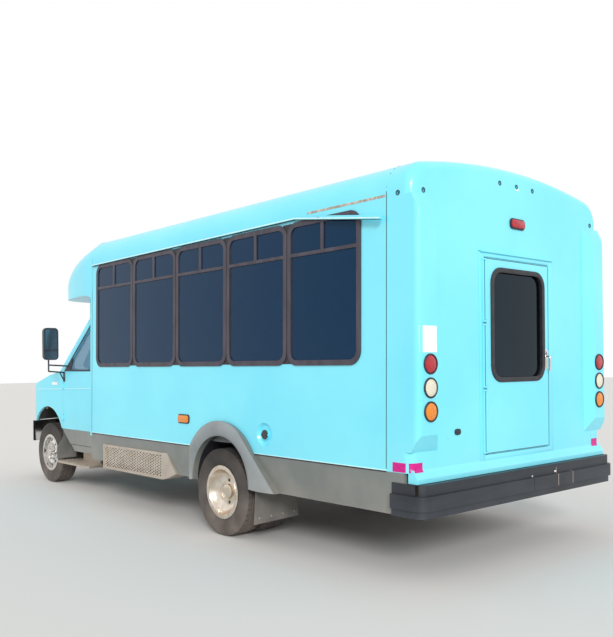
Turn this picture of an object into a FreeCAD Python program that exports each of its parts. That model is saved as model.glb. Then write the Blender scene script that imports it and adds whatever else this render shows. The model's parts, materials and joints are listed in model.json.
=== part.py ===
import FreeCAD, Part
import math
import os

# A shuttle minibus: a van cab and chassis that carries a wider passenger body with twin rear wheels.
# Millimetres. +X is forward, +Y is the driver's side (left), +Z is up, the ground is Z = 0.
# Every station along the bus is measured from the rear axle, and place() moves the finished
# solids so that the middle of the whole length lies at X = 0.

V = FreeCAD.Vector

# Driving dimensions of the chassis
wheelbase = 4013.0
front_overhang = 752.0
rear_overhang = 2202.0
wheel_radius = 366.0
tyre_width = 225.0
rim_radius = 203.0
front_track_half = 881.0
twin_mid_y = 989.0
twin_spacing = 272.0
kingpin_y = 801.0
running_gap = 0.05
door_gap = 6.0
seat_gap = 0.3

# Driving dimensions of the passenger body
half_width = 1219.0
wall_lean_in = 27.0
shoulder_half = half_width - wall_lean_in
rail_z = 722.0
shoulder_z = 2584.0
shoulder_radius = 200.0
crown_radius = 6000.0
wall = 40.0
cab_to_body = 1623.0
body_front_x = wheelbase - cab_to_body
rear_seam_x = -1874.0
rear_face_x = -2087.0
rear_edge_radius = 70.0
skirt_bottom_z = 437.0
skirt_thickness = 30.0
skirt_tuck = 25.0
floor_z = 840.0
floor_thickness = 60.0

# Side windows: as many as fit between the front of the body and the rear seam
front_margin = 104.0
rear_margin = 60.0
window_front_x = body_front_x - front_margin
window_pitch = 786.0
window_count = int((window_front_x - rear_seam_x - rear_margin) // window_pitch)
window_gap = 8.0
window_width = window_pitch - window_gap
window_sill_z = 1426.0
window_height = 1079.0
window_radius = 105.0
frame_face = 40.0
frame_proud = 10.0
transom_drop = 250.0
transom_half = 13.0
slider_post_half = 17.0
sleeve_inset = 12.0
glass_thickness = 6.0
glass_set = 5.0

# Rear lamp pillars and rear door
pillar_proud = 62.0
pillar_width_rear = 199.0
pillar_inner_y = half_width - pillar_width_rear
pillar_foot_y = pillar_inner_y - 70.0
pillar_foot_z = 858.0
pillar_face_z = 969.0
pillar_shoulder_z = 2420.0
pillar_top_z = 2540.0
pillar_edge_radius = 48.0
rear_door_half = 409.0
rear_door_bottom_z = 785.0
rear_door_top_z = 2183.0
rear_door_proud = 8.0
rear_window_half = 330.0
rear_window_bottom_z = 1312.0
rear_window_top_z = 2104.0
rear_window_radius = 100.0

# Two screw holes for the number plate, left of the rear door
plate_y = 748.0
plate_z = 927.0
plate_spacing = 178.0
plate_hole_radius = 3.5

# Wire holes of lamps that are gone: clearance lamps at the top, the plate lamp above the plate.
wire_hole_radius = 13.0
clearance_holes = ((-212.0, 2740.0), (0.0, 2740.0), (212.0, 2740.0), (-1070.0, 2570.0),
                   (1070.0, 2570.0), (plate_y - 15.0, plate_z + 40.0))
side_hole_x = rear_seam_x - 99.0
side_hole_z = 2555.0

# Passenger entrance on the right
entry_margin = 60.0
entry_front_x = body_front_x - entry_margin
entry_width = 780.0
entry_bottom_z = 455.0
entry_top_z = 2400.0
leaf_thickness = 36.0

# Wheel arches
rear_arch_radius = 400.0
rear_arch_z = 441.0
flare_radius = 533.0
flare_proud = 32.0
front_arch_radius = 441.0
front_arch_z = 500.0

# Behind the front wheel the door and sill are cut back along a slanted line.
sill_cut_top_x = wheelbase - 419.0
sill_cut_top_z = 685.0
sill_cut_run = 269.0
sill_cut_rise = 211.0

# Cab
cab_half = 1007.0
cab_nose = 690.0
cab_nose_x = wheelbase + cab_nose
cab_skin = 35.0
belt_z = 1374.0
door_length = 952.0
door_front_x = wheelbase - 455.0
door_rear_x = door_front_x - door_length
door_bottom_z = 520.0
door_depth = 90.0
door_frame = 28.0
door_sill_frame = 12.0
pane_grip = 10.0
cab_header_z = 1982.0
cab_header_half = 865.0
pillar_rake = 500.0
pillar_width = 84.0
hood_half = 800.0
hood_rear_x = wheelbase - 313.0

# Rear bumper
bumper_top_z = 655.0
bumper_bottom_z = 437.0
bumper_wrap = 19.0
bumper_half = half_width + bumper_wrap

rear_axle_x = -(wheelbase + front_overhang - rear_overhang) / 2
lean = math.atan2(half_width - shoulder_half, shoulder_z - rail_z)
lean_deg = math.degrees(lean)
cab_lean_deg = math.degrees(math.atan2(cab_half - cab_header_half, cab_header_z - belt_z))


def box(x0, x1, y0, y1, z0, z1):
    return Part.makeBox(x1 - x0, y1 - y0, z1 - z0, V(x0, y0, z0))


def rod(start, end, radius):
    direction = V(*end) - V(*start)
    return Part.makeCylinder(radius, direction.Length, V(*start), direction)


def fuse_all(shapes):
    if len(shapes) == 1:
        return shapes[0]
    return shapes[0].fuse(shapes[1:]).removeSplitter()


def cut_all(shape, tools):
    for tool in tools:
        shape = shape.cut(tool)
    return shape


def mirror_y(shape):
    return shape.mirror(V(0, 0, 0), V(0, 1, 0))


def prism_xz(points, y0, y1):
    """A prism along Y from an outline of (x, z) points."""
    wire = Part.makePolygon([V(x, y0, z) for x, z in points + points[:1]])
    return Part.Face(wire).extrude(V(0, y1 - y0, 0))


def prism_xy(points, z0, z1):
    """A prism along Z from an outline of (x, y) points."""
    wire = Part.makePolygon([V(x, y, z0) for x, y in points + points[:1]])
    return Part.Face(wire).extrude(V(0, 0, z1 - z0))


def prism_yz(points, x0, x1):
    """A prism along X from an outline of (y, z) points."""
    wire = Part.makePolygon([V(x0, y, z) for y, z in points + points[:1]])
    return Part.Face(wire).extrude(V(x1 - x0, 0, 0))


def rounded_plate(x0, x1, y0, y1, z0, z1, radius):
    """A plate facing Y whose corners are rounded."""
    plate = box(x0, x1, y0, y1, z0, z1)
    edges = [e for e in plate.Edges if abs(e.tangentAt(e.FirstParameter).y) > 0.9]
    return plate.makeFillet(radius, edges)


def leaned(shape):
    """Tips a shape, drawn against an upright left wall, to the lean of the wall."""
    shape = shape.copy()
    shape.rotate(V(0, half_width, rail_z), V(1, 0, 0), lean_deg)
    return shape


def cab_leaned(shape):
    """Tips a shape, drawn on an upright left cab side, to the lean above the belt line."""
    shape = shape.copy()
    shape.rotate(V(0, cab_half, belt_z), V(1, 0, 0), cab_lean_deg)
    return shape


def section_points(inset):
    """The side and roof outline of the passenger body, moved inwards by an inset."""
    top_y = shoulder_half - inset * math.cos(lean)
    top_z = shoulder_z - inset * math.sin(lean)
    base_y = half_width - inset / math.cos(lean)
    corner = shoulder_radius - inset
    crown = crown_radius - inset
    centre_y = top_y - corner * math.cos(lean)
    centre_z = top_z - corner * math.sin(lean)
    crown_z = centre_z - math.sqrt((crown - corner) ** 2 - centre_y ** 2)
    away = V(0, centre_y, centre_z - crown_z).normalize()
    tangent = V(0, away.y * crown, crown_z + away.z * crown)
    half_turn = (math.atan2(away.z, away.y) + lean) / 2
    middle = V(0, centre_y + corner * math.cos(half_turn), centre_z + corner * math.sin(half_turn))
    return V(0, base_y, rail_z), V(0, top_y, top_z), middle, tangent, V(0, 0, crown_z + crown)


def flip(point):
    return V(point.x, -point.y, point.z)


def roof_path(inset):
    """The edges from the left shoulder over the roof to the right shoulder."""
    top, middle, tangent, crest = section_points(inset)[1:]
    return [Part.Arc(top, middle, tangent).toShape(),
            Part.Arc(tangent, crest, flip(tangent)).toShape(),
            Part.Arc(flip(tangent), flip(middle), flip(top)).toShape()]


def body_bar(inset, x0, x1):
    """The full body section as a solid bar from the rail up."""
    base, top = section_points(inset)[:2]
    edges = [Part.makeLine(base, top)] + roof_path(inset)
    edges += [Part.makeLine(flip(top), flip(base)), Part.makeLine(flip(base), base)]
    bar = Part.Face(Part.Wire(edges)).extrude(V(x1 - x0, 0, 0))
    bar.translate(V(x0, 0, 0))
    return bar


def windows_on(side):
    """Front edges of the windows: the entrance takes the place of the first on the right."""
    first = 0 if side == "left" else 1
    return [window_front_x - k * window_pitch for k in range(first, window_count)]


def window_blank(front_x, inset, y0, y1):
    """A window's rounded outline, smaller all round by an inset."""
    middle_x = front_x - window_pitch / 2
    half = window_width / 2 - inset
    return rounded_plate(middle_x - half, middle_x + half, y0, y1, window_sill_z + inset,
                         window_sill_z + window_height - inset, window_radius - inset)


def arch_tool(x, z, radius, y0, y1):
    """The space of a wheel arch: a round top with straight sides down."""
    round_top = rod((x, y0, z), (x, y1, z), radius)
    return round_top.fuse(box(x - radius, x + radius, y0, y1, 0, z))


def entry_opening(gap, y0, y1):
    return box(entry_front_x - entry_width - gap, entry_front_x + gap, y0, y1, 0, entry_top_z + gap)


filler_x = -574.0
filler_z = 884.0
filler_radius = 94.0
filler_floor_radius = 74.0
filler_depth = 27.0
filler_cap_radius = 43.0
filler_cap_height = 19.0


def fuel_filler():
    """The bowl of the fuel filler as a cutting tool, and the cap that stands on its floor."""
    floor_y = half_width - filler_depth
    slope = (filler_radius - filler_floor_radius) / filler_depth
    height = filler_depth + 2.0
    bowl = Part.makeCone(filler_floor_radius, filler_floor_radius + slope * height, height,
                         V(filler_x, floor_y, filler_z), V(0, 1, 0))
    cap = rod((filler_x, floor_y - 2.0, filler_z), (filler_x, floor_y + filler_cap_height, filler_z),
              filler_cap_radius)
    grip = box(filler_x - filler_cap_radius + 4, filler_x + filler_cap_radius - 4,
               floor_y + filler_cap_height - 2.0, floor_y + filler_cap_height + 5.0,
               filler_z - 7, filler_z + 7)
    return leaned(bowl), leaned(cap.fuse(grip))


def make_wall(side):
    outer, outer_top = section_points(0)[:2]
    inner, inner_top = section_points(wall)[:2]
    outline = [(p.y, p.z) for p in (outer, outer_top, inner_top, inner)]
    shape = prism_yz(outline, rear_seam_x, body_front_x)
    tools = [leaned(window_blank(x, sleeve_inset, half_width - 2 * wall, half_width + wall))
             for x in windows_on(side)]
    tools.append(arch_tool(0, rear_arch_z, rear_arch_radius + 12.0, half_width - 100, half_width + 50))
    if side == "right":
        tools.append(leaned(entry_opening(0, half_width - 2 * wall, half_width + wall)))
    shape = cut_all(shape, tools)
    if side == "right":
        return mirror_y(shape)
    bowl, cap = fuel_filler()
    return shape.cut(bowl).fuse(cap).removeSplitter()


def window_glass(front_x):
    inset = frame_face - 8.0
    glass_y = half_width - glass_set
    return window_blank(front_x, inset, glass_y, glass_y + glass_thickness)


def make_window_frame(front_x):
    """A frame with a fixed pane below and two sliding panes above a transom."""
    flange = window_blank(front_x, 0.0, half_width, half_width + frame_proud)
    sleeve = window_blank(front_x, sleeve_inset, half_width - wall - 4.0, half_width)
    frame = flange.fuse(sleeve).removeSplitter()
    middle_x = front_x - window_pitch / 2
    half = window_width / 2 - frame_face
    top_z = window_sill_z + window_height - frame_face
    transom_z = top_z - transom_drop + frame_face
    y0 = half_width - 2 * wall
    y1 = half_width + wall
    radius = window_radius - frame_face
    low = transom_z - transom_half
    high = transom_z + transom_half
    pane = rounded_plate(middle_x - half, middle_x + half, y0, y1, window_sill_z + frame_face, low, radius)
    frame = frame.cut(pane.fuse(box(middle_x - half, middle_x + half, y0, y1, low - 2 * radius, low)))
    sliders = rounded_plate(middle_x - half, middle_x + half, y0, y1, high, top_z, radius)
    sliders = sliders.fuse(box(middle_x - half, middle_x + half, y0, y1, high, high + 1.5 * radius))
    post = box(middle_x - slider_post_half, middle_x + slider_post_half, y0, y1, high, top_z)
    frame = frame.cut(sliders.cut(post))
    return frame.cut(window_glass(front_x))


def both_sides(make):
    left = [leaned(make(x)) for x in windows_on("left")]
    right = [mirror_y(leaned(make(x))) for x in windows_on("right")]
    return Part.makeCompound(left + right)


def make_roof():
    top = section_points(0)[1]
    inner_top = section_points(wall)[1]
    edges = roof_path(0) + [Part.makeLine(flip(top), flip(inner_top))]
    edges += roof_path(wall) + [Part.makeLine(inner_top, top)]
    roof = Part.Face(Part.Wire(Part.sortEdges(edges)[0])).extrude(V(body_front_x - rear_seam_x, 0, 0))
    roof.translate(V(rear_seam_x, 0, 0))
    return roof


def rear_pillar():
    """A raised pad for the lamps, bevelled towards the door and at its foot."""
    face_x = rear_face_x - pillar_proud
    front_x = rear_face_x + rear_edge_radius + 4
    side = prism_xz([(front_x, pillar_foot_z), (rear_face_x, pillar_foot_z), (face_x, pillar_face_z),
                     (face_x, pillar_shoulder_z), (rear_face_x, pillar_top_z), (front_x, pillar_top_z)],
                    pillar_foot_y, half_width)
    plan = prism_xy([(front_x, pillar_foot_y), (rear_face_x, pillar_foot_y), (face_x, pillar_inner_y),
                     (face_x, half_width), (front_x, half_width)], pillar_foot_z, pillar_top_z)
    pad = side.common(plan).common(body_bar(0, face_x, front_x))
    edges = [e for e in pad.Edges
             if abs(e.tangentAt(e.FirstParameter).z) > 0.99 and e.Length > 1000
             and e.BoundBox.XMax < face_x + 1 and e.BoundBox.YMin > pillar_inner_y + 50]
    return pad.makeFillet(pillar_edge_radius, edges)


def make_rear_cap():
    outer = body_bar(0, rear_face_x, rear_seam_x)
    edges = [e for e in outer.Edges
             if abs(e.BoundBox.XMax - rear_face_x) < 0.01 and e.BoundBox.ZMax > rail_z + 10]
    outer = outer.makeFillet(rear_edge_radius, edges)
    lip_depth = 36.0
    lip = prism_xz([(rear_face_x, rail_z + 20), (rear_face_x - lip_depth, bumper_top_z + 30),
                    (rear_face_x - lip_depth, bumper_top_z), (rear_face_x + wall, bumper_top_z),
                    (rear_face_x + wall, rail_z + 20)], -half_width + 20, half_width - 20)
    pad = rear_pillar()
    shell = outer.fuse([pad, mirror_y(pad)])
    shell = shell.cut(body_bar(wall, rear_face_x + wall, rear_seam_x))
    shell = shell.fuse(lip)
    opening = box(rear_face_x - 200, rear_face_x + 2 * wall, -rear_door_half - door_gap,
                  rear_door_half + door_gap, rear_door_bottom_z - door_gap, rear_door_top_z + door_gap)
    shell = shell.cut(opening).removeSplitter()
    for y in (plate_y - plate_spacing / 2, plate_y + plate_spacing / 2):
        shell = shell.cut(rod((rear_face_x - 1, y, plate_z), (rear_face_x + wall + 1, y, plate_z),
                              plate_hole_radius))
    for y, z in clearance_holes:
        shell = shell.cut(rod((rear_face_x - 1, y, z), (rear_face_x + wall + 1, y, z), wire_hole_radius))
    for side in (1, -1):
        shell = shell.cut(rod((side_hole_x, side * (half_width - 2 * wall), side_hole_z),
                              (side_hole_x, side * half_width, side_hole_z), wire_hole_radius))
    return shell


def hinge_lug(x, y, z, half_height, radius, pin_radius, away):
    """Two lugs and a pin on the post side of a hinge: away is the direction towards the post."""
    reach = 34.0
    shapes = [rod((x, y, z - half_height), (x, y, z + half_height), pin_radius)]
    for z0 in (z - half_height, z + half_height - 12):
        shapes.append(rod((x, y, z0), (x, y, z0 + 12), radius))
        ax, ay = away
        x0, x1 = sorted((x, x + ax * reach)) if ax else (x - radius, x + radius)
        y0, y1 = sorted((y, y + ay * reach)) if ay else (y - radius, y + radius)
        shapes.append(box(x0, x1, y0, y1, z0, z0 + 12))
    return fuse_all(shapes)


def hinge_barrel(x, y, z, half_height, radius, pin_radius):
    inner = half_height - 12 - 6
    barrel = rod((x, y, z - inner), (x, y, z + inner), radius)
    return barrel, rod((x, y, z - inner - 1), (x, y, z + inner + 1), pin_radius + running_gap)


entry_hinge_radius = 8.0
entry_hinge_pin = 4.0
hinge_half = 60.0

# The rear exit hangs on a slim hinge along nearly its whole height, in three lengths.
rear_hinge_radius = 5.5
rear_hinge_pin = 3.0
rear_hinge_x = rear_face_x - rear_door_proud - rear_hinge_radius
rear_hinge_y = rear_door_half + door_gap
rear_hinge_half = (rear_door_top_z - rear_door_bottom_z) / 6 - 7.0
rear_hinge_zs = [rear_door_bottom_z + (2 * k + 1) * (rear_door_top_z - rear_door_bottom_z) / 6
                 for k in range(3)]


def make_rear_door():
    door = rounded_plate(-rear_door_half, rear_door_half, 0, wall + rear_door_proud,
                         rear_door_bottom_z, rear_door_top_z, 14.0)
    window = rounded_plate(-rear_window_half, rear_window_half, -50, 200, rear_window_bottom_z,
                           rear_window_top_z, rear_window_radius)
    door = door.cut(window)
    door.rotate(V(0, 0, 0), V(0, 0, 1), -90)
    door.translate(V(rear_face_x - rear_door_proud, 0, 0))
    for z in rear_hinge_zs:
        barrel, bore = hinge_barrel(rear_hinge_x, rear_hinge_y, z, rear_hinge_half,
                                    rear_hinge_radius, rear_hinge_pin)
        inner = rear_hinge_half - 18
        leaf = box(rear_hinge_x + 0.4 * rear_hinge_radius, rear_face_x - rear_door_proud,
                   rear_hinge_y - 22, rear_hinge_y, z - inner, z + inner)
        door = door.fuse([barrel, leaf]).cut(bore)
    return door.removeSplitter()


def make_rear_glass():
    glass = rounded_plate(-rear_window_half, rear_window_half, 18, 18 + glass_thickness,
                          rear_window_bottom_z, rear_window_top_z, rear_window_radius)
    glass.rotate(V(0, 0, 0), V(0, 0, 1), -90)
    glass.translate(V(rear_face_x - rear_door_proud, 0, 0))
    return glass


def rear_hinge_lugs():
    lugs = []
    for z in rear_hinge_zs:
        lug = hinge_lug(rear_hinge_x, rear_hinge_y, z, rear_hinge_half, rear_hinge_radius,
                        rear_hinge_pin, (0, 1))
        foot = box(rear_hinge_x, rear_face_x, rear_hinge_y + 14, rear_hinge_y + 34,
                   z - rear_hinge_half, z + rear_hinge_half)
        lugs.append(lug.fuse(foot))
    return lugs


front_cap_rows = (
    # ahead of the body front, drawn in from the shoulder, shoulder height, shoulder radius
    (0.0, 2.0, 2584.0, 200.0),
    (350.0, 12.0, 2500.0, 220.0),
    (650.0, 50.0, 2405.0, 245.0),
    (830.0, 102.0, 2330.0, 250.0),
    (960.0, 192.0, 2275.0, 250.0),
    (1050.0, 342.0, 2235.0, 230.0),
    (1095.0, 552.0, 2215.0, 180.0),
)
cap_lip_z = 2205.0
cap_soffit_z = 2130.0
cap_skin = 30.0
cap_nose_x = body_front_x + front_cap_rows[-1][0]


def cap_section(row, inset):
    ahead, drawn_in, shoulder, corner = row
    half = shoulder_half - drawn_in - inset
    corner = corner - inset
    crown = crown_radius - inset
    base_z = cap_soffit_z - 60
    crown_z = shoulder - math.sqrt((crown - corner) ** 2 - (half - corner) ** 2)
    away = V(0, half - corner, shoulder - crown_z).normalize()
    x = body_front_x + ahead
    tangent = V(x, away.y * crown, crown_z + away.z * crown)
    turn = math.atan2(away.z, away.y) / 2
    middle = V(x, half - corner + corner * math.cos(turn), shoulder + corner * math.sin(turn))
    base = V(x, half, base_z)
    top = V(x, half, shoulder)
    crest = V(x, 0, crown_z + crown)
    edges = [Part.makeLine(base, top), Part.Arc(top, middle, tangent).toShape(),
             Part.Arc(tangent, crest, flip(tangent)).toShape(),
             Part.Arc(flip(tangent), flip(middle), flip(top)).toShape(),
             Part.makeLine(flip(top), flip(base)), Part.makeLine(flip(base), base)]
    return Part.Wire(edges)


def make_front_cap():
    """The fibreglass cap over the cab, its soffit and the returns beside the cab."""
    outer = Part.makeLoft([cap_section(row, 0) for row in front_cap_rows], True, False)
    inner_rows = [(0.0,) + front_cap_rows[0][1:]]
    inner_rows += [(row[0] - cap_skin,) + row[1:] for row in front_cap_rows[1:]]
    inner = Part.makeLoft([cap_section(row, cap_skin) for row in inner_rows], True, False)
    low = prism_xz([(body_front_x - 10, cap_soffit_z - 200), (body_front_x - 10, cap_soffit_z),
                    (body_front_x, cap_soffit_z), (body_front_x + 60, cap_soffit_z + 50),
                    (body_front_x + 160, cap_lip_z), (cap_nose_x + 100, cap_lip_z),
                    (cap_nose_x + 100, cap_soffit_z - 200)], -half_width, half_width)
    shell = outer.cut(inner).cut(low)
    soffit = outer.common(box(body_front_x, cap_nose_x, -half_width, half_width,
                              cap_lip_z, cap_lip_z + cap_skin))
    opening = box(body_front_x - 10, cap_header_x, -cab_header_half + 60, cab_header_half - 60,
                  cap_lip_z - 50, cap_lip_z + 2 * cap_skin)
    shell = shell.fuse(soffit.cut(opening))
    returns = []
    for side in (1, -1):
        y0, y1 = sorted((side * (cab_half - 32), side * (half_width - 1)))
        plate = box(body_front_x, body_front_x + wall, y0, y1, skirt_bottom_z, cap_lip_z)
        returns.append(plate.common(full_section(body_front_x, body_front_x + wall)))
    return shell.fuse(returns).removeSplitter()


def full_section(x0, x1):
    """Body section bar from the skirt's bottom to the roof."""
    low_half = half_width - skirt_tuck
    skirt = prism_yz([(half_width, rail_z), (low_half, skirt_bottom_z), (-low_half, skirt_bottom_z),
                      (-half_width, rail_z)], x0, x1)
    return body_bar(0, x0, x1).fuse(skirt)


cap_header_x = door_front_x + pillar_width - pillar_rake


def make_skirts():
    """Lower side panels with the flares round the rear wheels."""
    low_half = half_width - skirt_tuck
    outline = [(half_width, rail_z), (low_half, skirt_bottom_z),
               (low_half - skirt_thickness, skirt_bottom_z), (half_width - skirt_thickness, rail_z)]
    panel = prism_yz(outline, rear_face_x + 60, body_front_x)
    opening = arch_tool(0, rear_arch_z, rear_arch_radius, half_width - 200, half_width + 100)
    outer_arc_z = rail_z + 243.0 - flare_radius
    flare = rod((0, half_width - skirt_tuck, outer_arc_z), (0, half_width + flare_proud, outer_arc_z),
                flare_radius)
    keep = prism_xz([(436, rail_z), (452, skirt_bottom_z), (-736, skirt_bottom_z), (-444, rail_z),
                     (-444, rail_z + 300), (436, rail_z + 300)],
                    half_width - skirt_tuck, half_width + flare_proud)
    tail = prism_xz([(-300, rail_z), (-300, skirt_bottom_z), (-736, skirt_bottom_z), (-444, rail_z)],
                    half_width - skirt_tuck, half_width + flare_proud)
    front = prism_xz([(436, rail_z), (300, rail_z), (300, skirt_bottom_z), (452, skirt_bottom_z)],
                     half_width - skirt_tuck, half_width + flare_proud)
    flare = flare.common(keep).fuse([tail, front])
    wall_skin = make_wall("left").fuse(box(rear_seam_x, body_front_x, 0, half_width - wall, rail_z,
                                           shoulder_z))
    flare = flare.cut(wall_skin)
    left = panel.fuse(flare).cut(opening).removeSplitter()
    right = mirror_y(left)
    right = right.cut(mirror_y(entry_opening(0, half_width - 2 * wall, half_width + wall)))
    return Part.makeCompound([left, right])


floor_sill_xs = (-1900.0, -1300.0, -640.0, 640.0, 1240.0, body_front_x - 30.0)


def make_floor():
    """Floor slab on cross sills, with the step well of the entrance."""
    inner = half_width - wall - 4
    well_outer = half_width - skirt_tuck - skirt_thickness - seat_gap
    slab = box(rear_face_x + wall + seat_gap, body_front_x, -inner, inner, floor_z - floor_thickness,
               floor_z)
    well_inner = well_outer - 420
    well = box(entry_front_x - entry_width, entry_front_x, -inner - 10, -well_inner,
               floor_z - floor_thickness - 1, floor_z + 1)
    slab = slab.cut(well)
    shapes = [slab]
    for x in floor_sill_xs:
        shapes.append(box(x - 30, x + 30, -inner + 40, inner - 40, frame_top_z, floor_z - floor_thickness))
    tread = 210.0
    step_levels = ((well_outer, 455.0), (well_outer - tread, 645.0))
    for y_out, z in step_levels:
        shapes.append(box(entry_front_x - entry_width, entry_front_x, -y_out, -y_out + tread, z - 25, z))
    shapes.append(box(entry_front_x - entry_width, entry_front_x, -well_outer + tread - 25,
                      -well_outer + tread, 430.0, 645.0))
    shapes.append(box(entry_front_x - entry_width, entry_front_x, -well_inner - 25, -well_inner,
                      620.0, floor_z))
    for x0 in (entry_front_x - entry_width - 25, entry_front_x):
        shapes.append(box(x0, x0 + 25, -well_outer, -well_inner, 430.0, floor_z - floor_thickness))
    return fuse_all(shapes)


frame_top_z = 720.0
cab_floor_z = frame_top_z + 40.0
frame_bottom_z = 540.0
frame_outer_y = 455.0
frame_inner_y = 385.0
jack_pad_xs = (1000.0, wheelbase - 813.0)
jack_pad_drop = 12.0


def make_chassis_frame():
    """Ladder frame with its outriggers, spring hangers and the fuel tank behind the rear axle."""
    shapes = []
    for side in (1, -1):
        y0, y1 = sorted((side * frame_inner_y, side * frame_outer_y))
        shapes.append(box(rear_seam_x, wheelbase + 560, y0, y1, frame_bottom_z, frame_top_z))
        h0, h1 = sorted((side * frame_outer_y, side * (spring_y + spring_half)))
        for x in (-spring_reach, spring_reach):
            shapes.append(box(x - 30, x + 30, h0, h1, spring_eye_z + 34, frame_top_z))
        c0, c1 = sorted((side * frame_outer_y, side * (coil_y + 70)))
        shapes.append(box(wheelbase - 75, wheelbase + 75, c0, c1, coil_top_z, coil_top_z + 60))
        for x in jack_pad_xs:
            shapes.append(box(x - 60, x + 60, y0, y1, frame_bottom_z - jack_pad_drop, frame_bottom_z))
    for x in (-1700.0, -850.0, 700.0, 1500.0, body_front_x + 10.0) + engine_mount_xs:
        shapes.append(box(x - 40, x + 40, -frame_inner_y, frame_inner_y, frame_bottom_z + 10,
                          frame_bottom_z + 90))
    tank = box(-1500, -900, -340, 340, 330, frame_bottom_z + 10)
    straps = [box(x - 25, x + 25, -frame_inner_y, frame_inner_y, frame_bottom_z, frame_bottom_z + 10)
              for x in (-1400.0, -1000.0)]
    return fuse_all(shapes + [tank] + straps)


engine_mount_xs = (wheelbase - 273.0, wheelbase + 277.0)
spring_y = 505.0
spring_half = 38.0
spring_reach = 640.0
spring_eye_z = 520.0
spring_seat_z = wheel_radius + 62.0
coil_y = 560.0
coil_top_z = 620.0
beam_half = 40.0
beam_top_z = 330.0
beam_bottom_z = 250.0


def make_springs():
    """Leaf packs over the rear axle tubes and coils over the front beams."""
    shapes = []
    leaf = 9.0
    rows = ((spring_reach, 0), (520.0, 1), (400.0, 2), (280.0, 3))
    for side in (1, -1):
        pack = []
        for reach, level in rows:
            rise = (spring_eye_z - spring_seat_z - 4 * leaf) * (reach / spring_reach) ** 2
            low = spring_seat_z + (3 - level) * leaf
            low_arc = [V(-reach, 0, low + rise), V(0, 0, low), V(reach, 0, low + rise)]
            high_arc = [p + V(0, 0, leaf) for p in low_arc]
            edges = [Part.Arc(*low_arc).toShape(), Part.makeLine(low_arc[2], high_arc[2]),
                     Part.Arc(*high_arc).toShape(), Part.makeLine(high_arc[0], low_arc[0])]
            face = Part.Face(Part.Wire(Part.sortEdges(edges)[0]))
            blade = face.extrude(V(0, 2 * spring_half, 0))
            blade.translate(V(0, side * spring_y - spring_half, 0))
            pack.append(blade)
        for x in (-spring_reach, spring_reach):
            pack.append(rod((x, side * spring_y - spring_half, spring_eye_z),
                            (x, side * spring_y + spring_half, spring_eye_z), 28))
            pack.append(box(x - 14, x + 14, side * spring_y - spring_half, side * spring_y + spring_half,
                            spring_eye_z, spring_eye_z + 34))
        shapes.append(fuse_all(pack))
        helix = Part.makeHelix(48.0, coil_top_z - beam_top_z - 18, 52.0)
        helix.translate(V(wheelbase, side * coil_y, beam_top_z + 9))
        start = V(wheelbase + 52.0, side * coil_y, beam_top_z + 9)
        profile = Part.Wire(Part.makeCircle(8.5, start, V(0, 1, 0)))
        coil = Part.Wire(helix.Edges).makePipeShell([profile], True, True)
        ends = [rod((wheelbase, side * coil_y, z0), (wheelbase, side * coil_y, z0 + 9), 60)
                for z0 in (beam_top_z, coil_top_z - 9)]
        shapes.append(fuse_all([coil] + ends))
    return Part.makeCompound(shapes)


kingpin_radius = 28.0
eye_radius = 42.0
spindle_radius = 30.0


def make_front_axle():
    """A beam with an eye for the kingpin at each end."""
    beam = box(wheelbase - beam_half, wheelbase + beam_half, -coil_y - 90, coil_y + 90, beam_bottom_z,
               beam_top_z)
    flutes = [box(wheelbase + s * 15 - (25 if s < 0 else 0), wheelbase + s * 15 + (25 if s > 0 else 0),
                  -coil_y - 20, coil_y + 20, beam_bottom_z + 18, beam_top_z - 18) for s in (1, -1)]
    beam = cut_all(beam, flutes)
    shapes = [beam]
    for side in (1, -1):
        end = prism_yz([(side * (coil_y + 60), beam_bottom_z), (side * (coil_y + 60), beam_top_z),
                        (side * (kingpin_y - 20), wheel_radius + 30),
                        (side * (kingpin_y - 20), wheel_radius - 30)],
                       wheelbase - 30, wheelbase + 30)
        eye = rod((wheelbase, side * kingpin_y, wheel_radius - 45),
                  (wheelbase, side * kingpin_y, wheel_radius + 45), eye_radius)
        shapes += [end, eye]
    axle = fuse_all(shapes)
    for side in (1, -1):
        axle = axle.cut(rod((wheelbase, side * kingpin_y, wheel_radius - 90),
                            (wheelbase, side * kingpin_y, wheel_radius + 90),
                            kingpin_radius + running_gap))
    return axle


def make_knuckle():
    """The left knuckle: kingpin, fork and spindle."""
    pin = rod((wheelbase, kingpin_y, wheel_radius - 100), (wheelbase, kingpin_y, wheel_radius + 100),
              kingpin_radius)
    plate_y = kingpin_y + eye_radius + 10
    shapes = [pin]
    for z0, z1 in ((wheel_radius + 52, wheel_radius + 100), (wheel_radius - 100, wheel_radius - 52)):
        shapes.append(rod((wheelbase, kingpin_y, z0), (wheelbase, kingpin_y, z1), eye_radius))
        shapes.append(box(wheelbase - 36, wheelbase + 36, kingpin_y, plate_y + 16, z0, z1))
    shapes.append(box(wheelbase - 36, wheelbase + 36, plate_y, plate_y + 16, wheel_radius - 100,
                      wheel_radius + 100))
    spindle_end = front_track_half + 60
    shapes.append(rod((wheelbase, plate_y, wheel_radius), (wheelbase, spindle_end, wheel_radius),
                      spindle_radius))
    return fuse_all(shapes)


def make_rear_axle():
    """Axle housing with its differential, tubes, spring seats and spindles."""
    tube = rod((0, -twin_mid_y + 60, wheel_radius), (0, twin_mid_y - 60, wheel_radius), 55)
    spindle = rod((0, -twin_mid_y - 60, wheel_radius), (0, twin_mid_y + 60, wheel_radius), rear_spindle)
    bowl = Part.makeSphere(165, V(0, 60, wheel_radius))
    nose = Part.makeCone(95, 60, 330, V(0, 60, wheel_radius), V(1, 0, 0.05))
    shapes = [tube, spindle, bowl, nose]
    for side in (1, -1):
        y0 = side * spring_y - spring_half - 8
        y1 = side * spring_y + spring_half + 8
        shapes.append(box(-70, 70, y0, y1, wheel_radius, spring_seat_z))
    return fuse_all(shapes)


rear_spindle = 42.0


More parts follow.
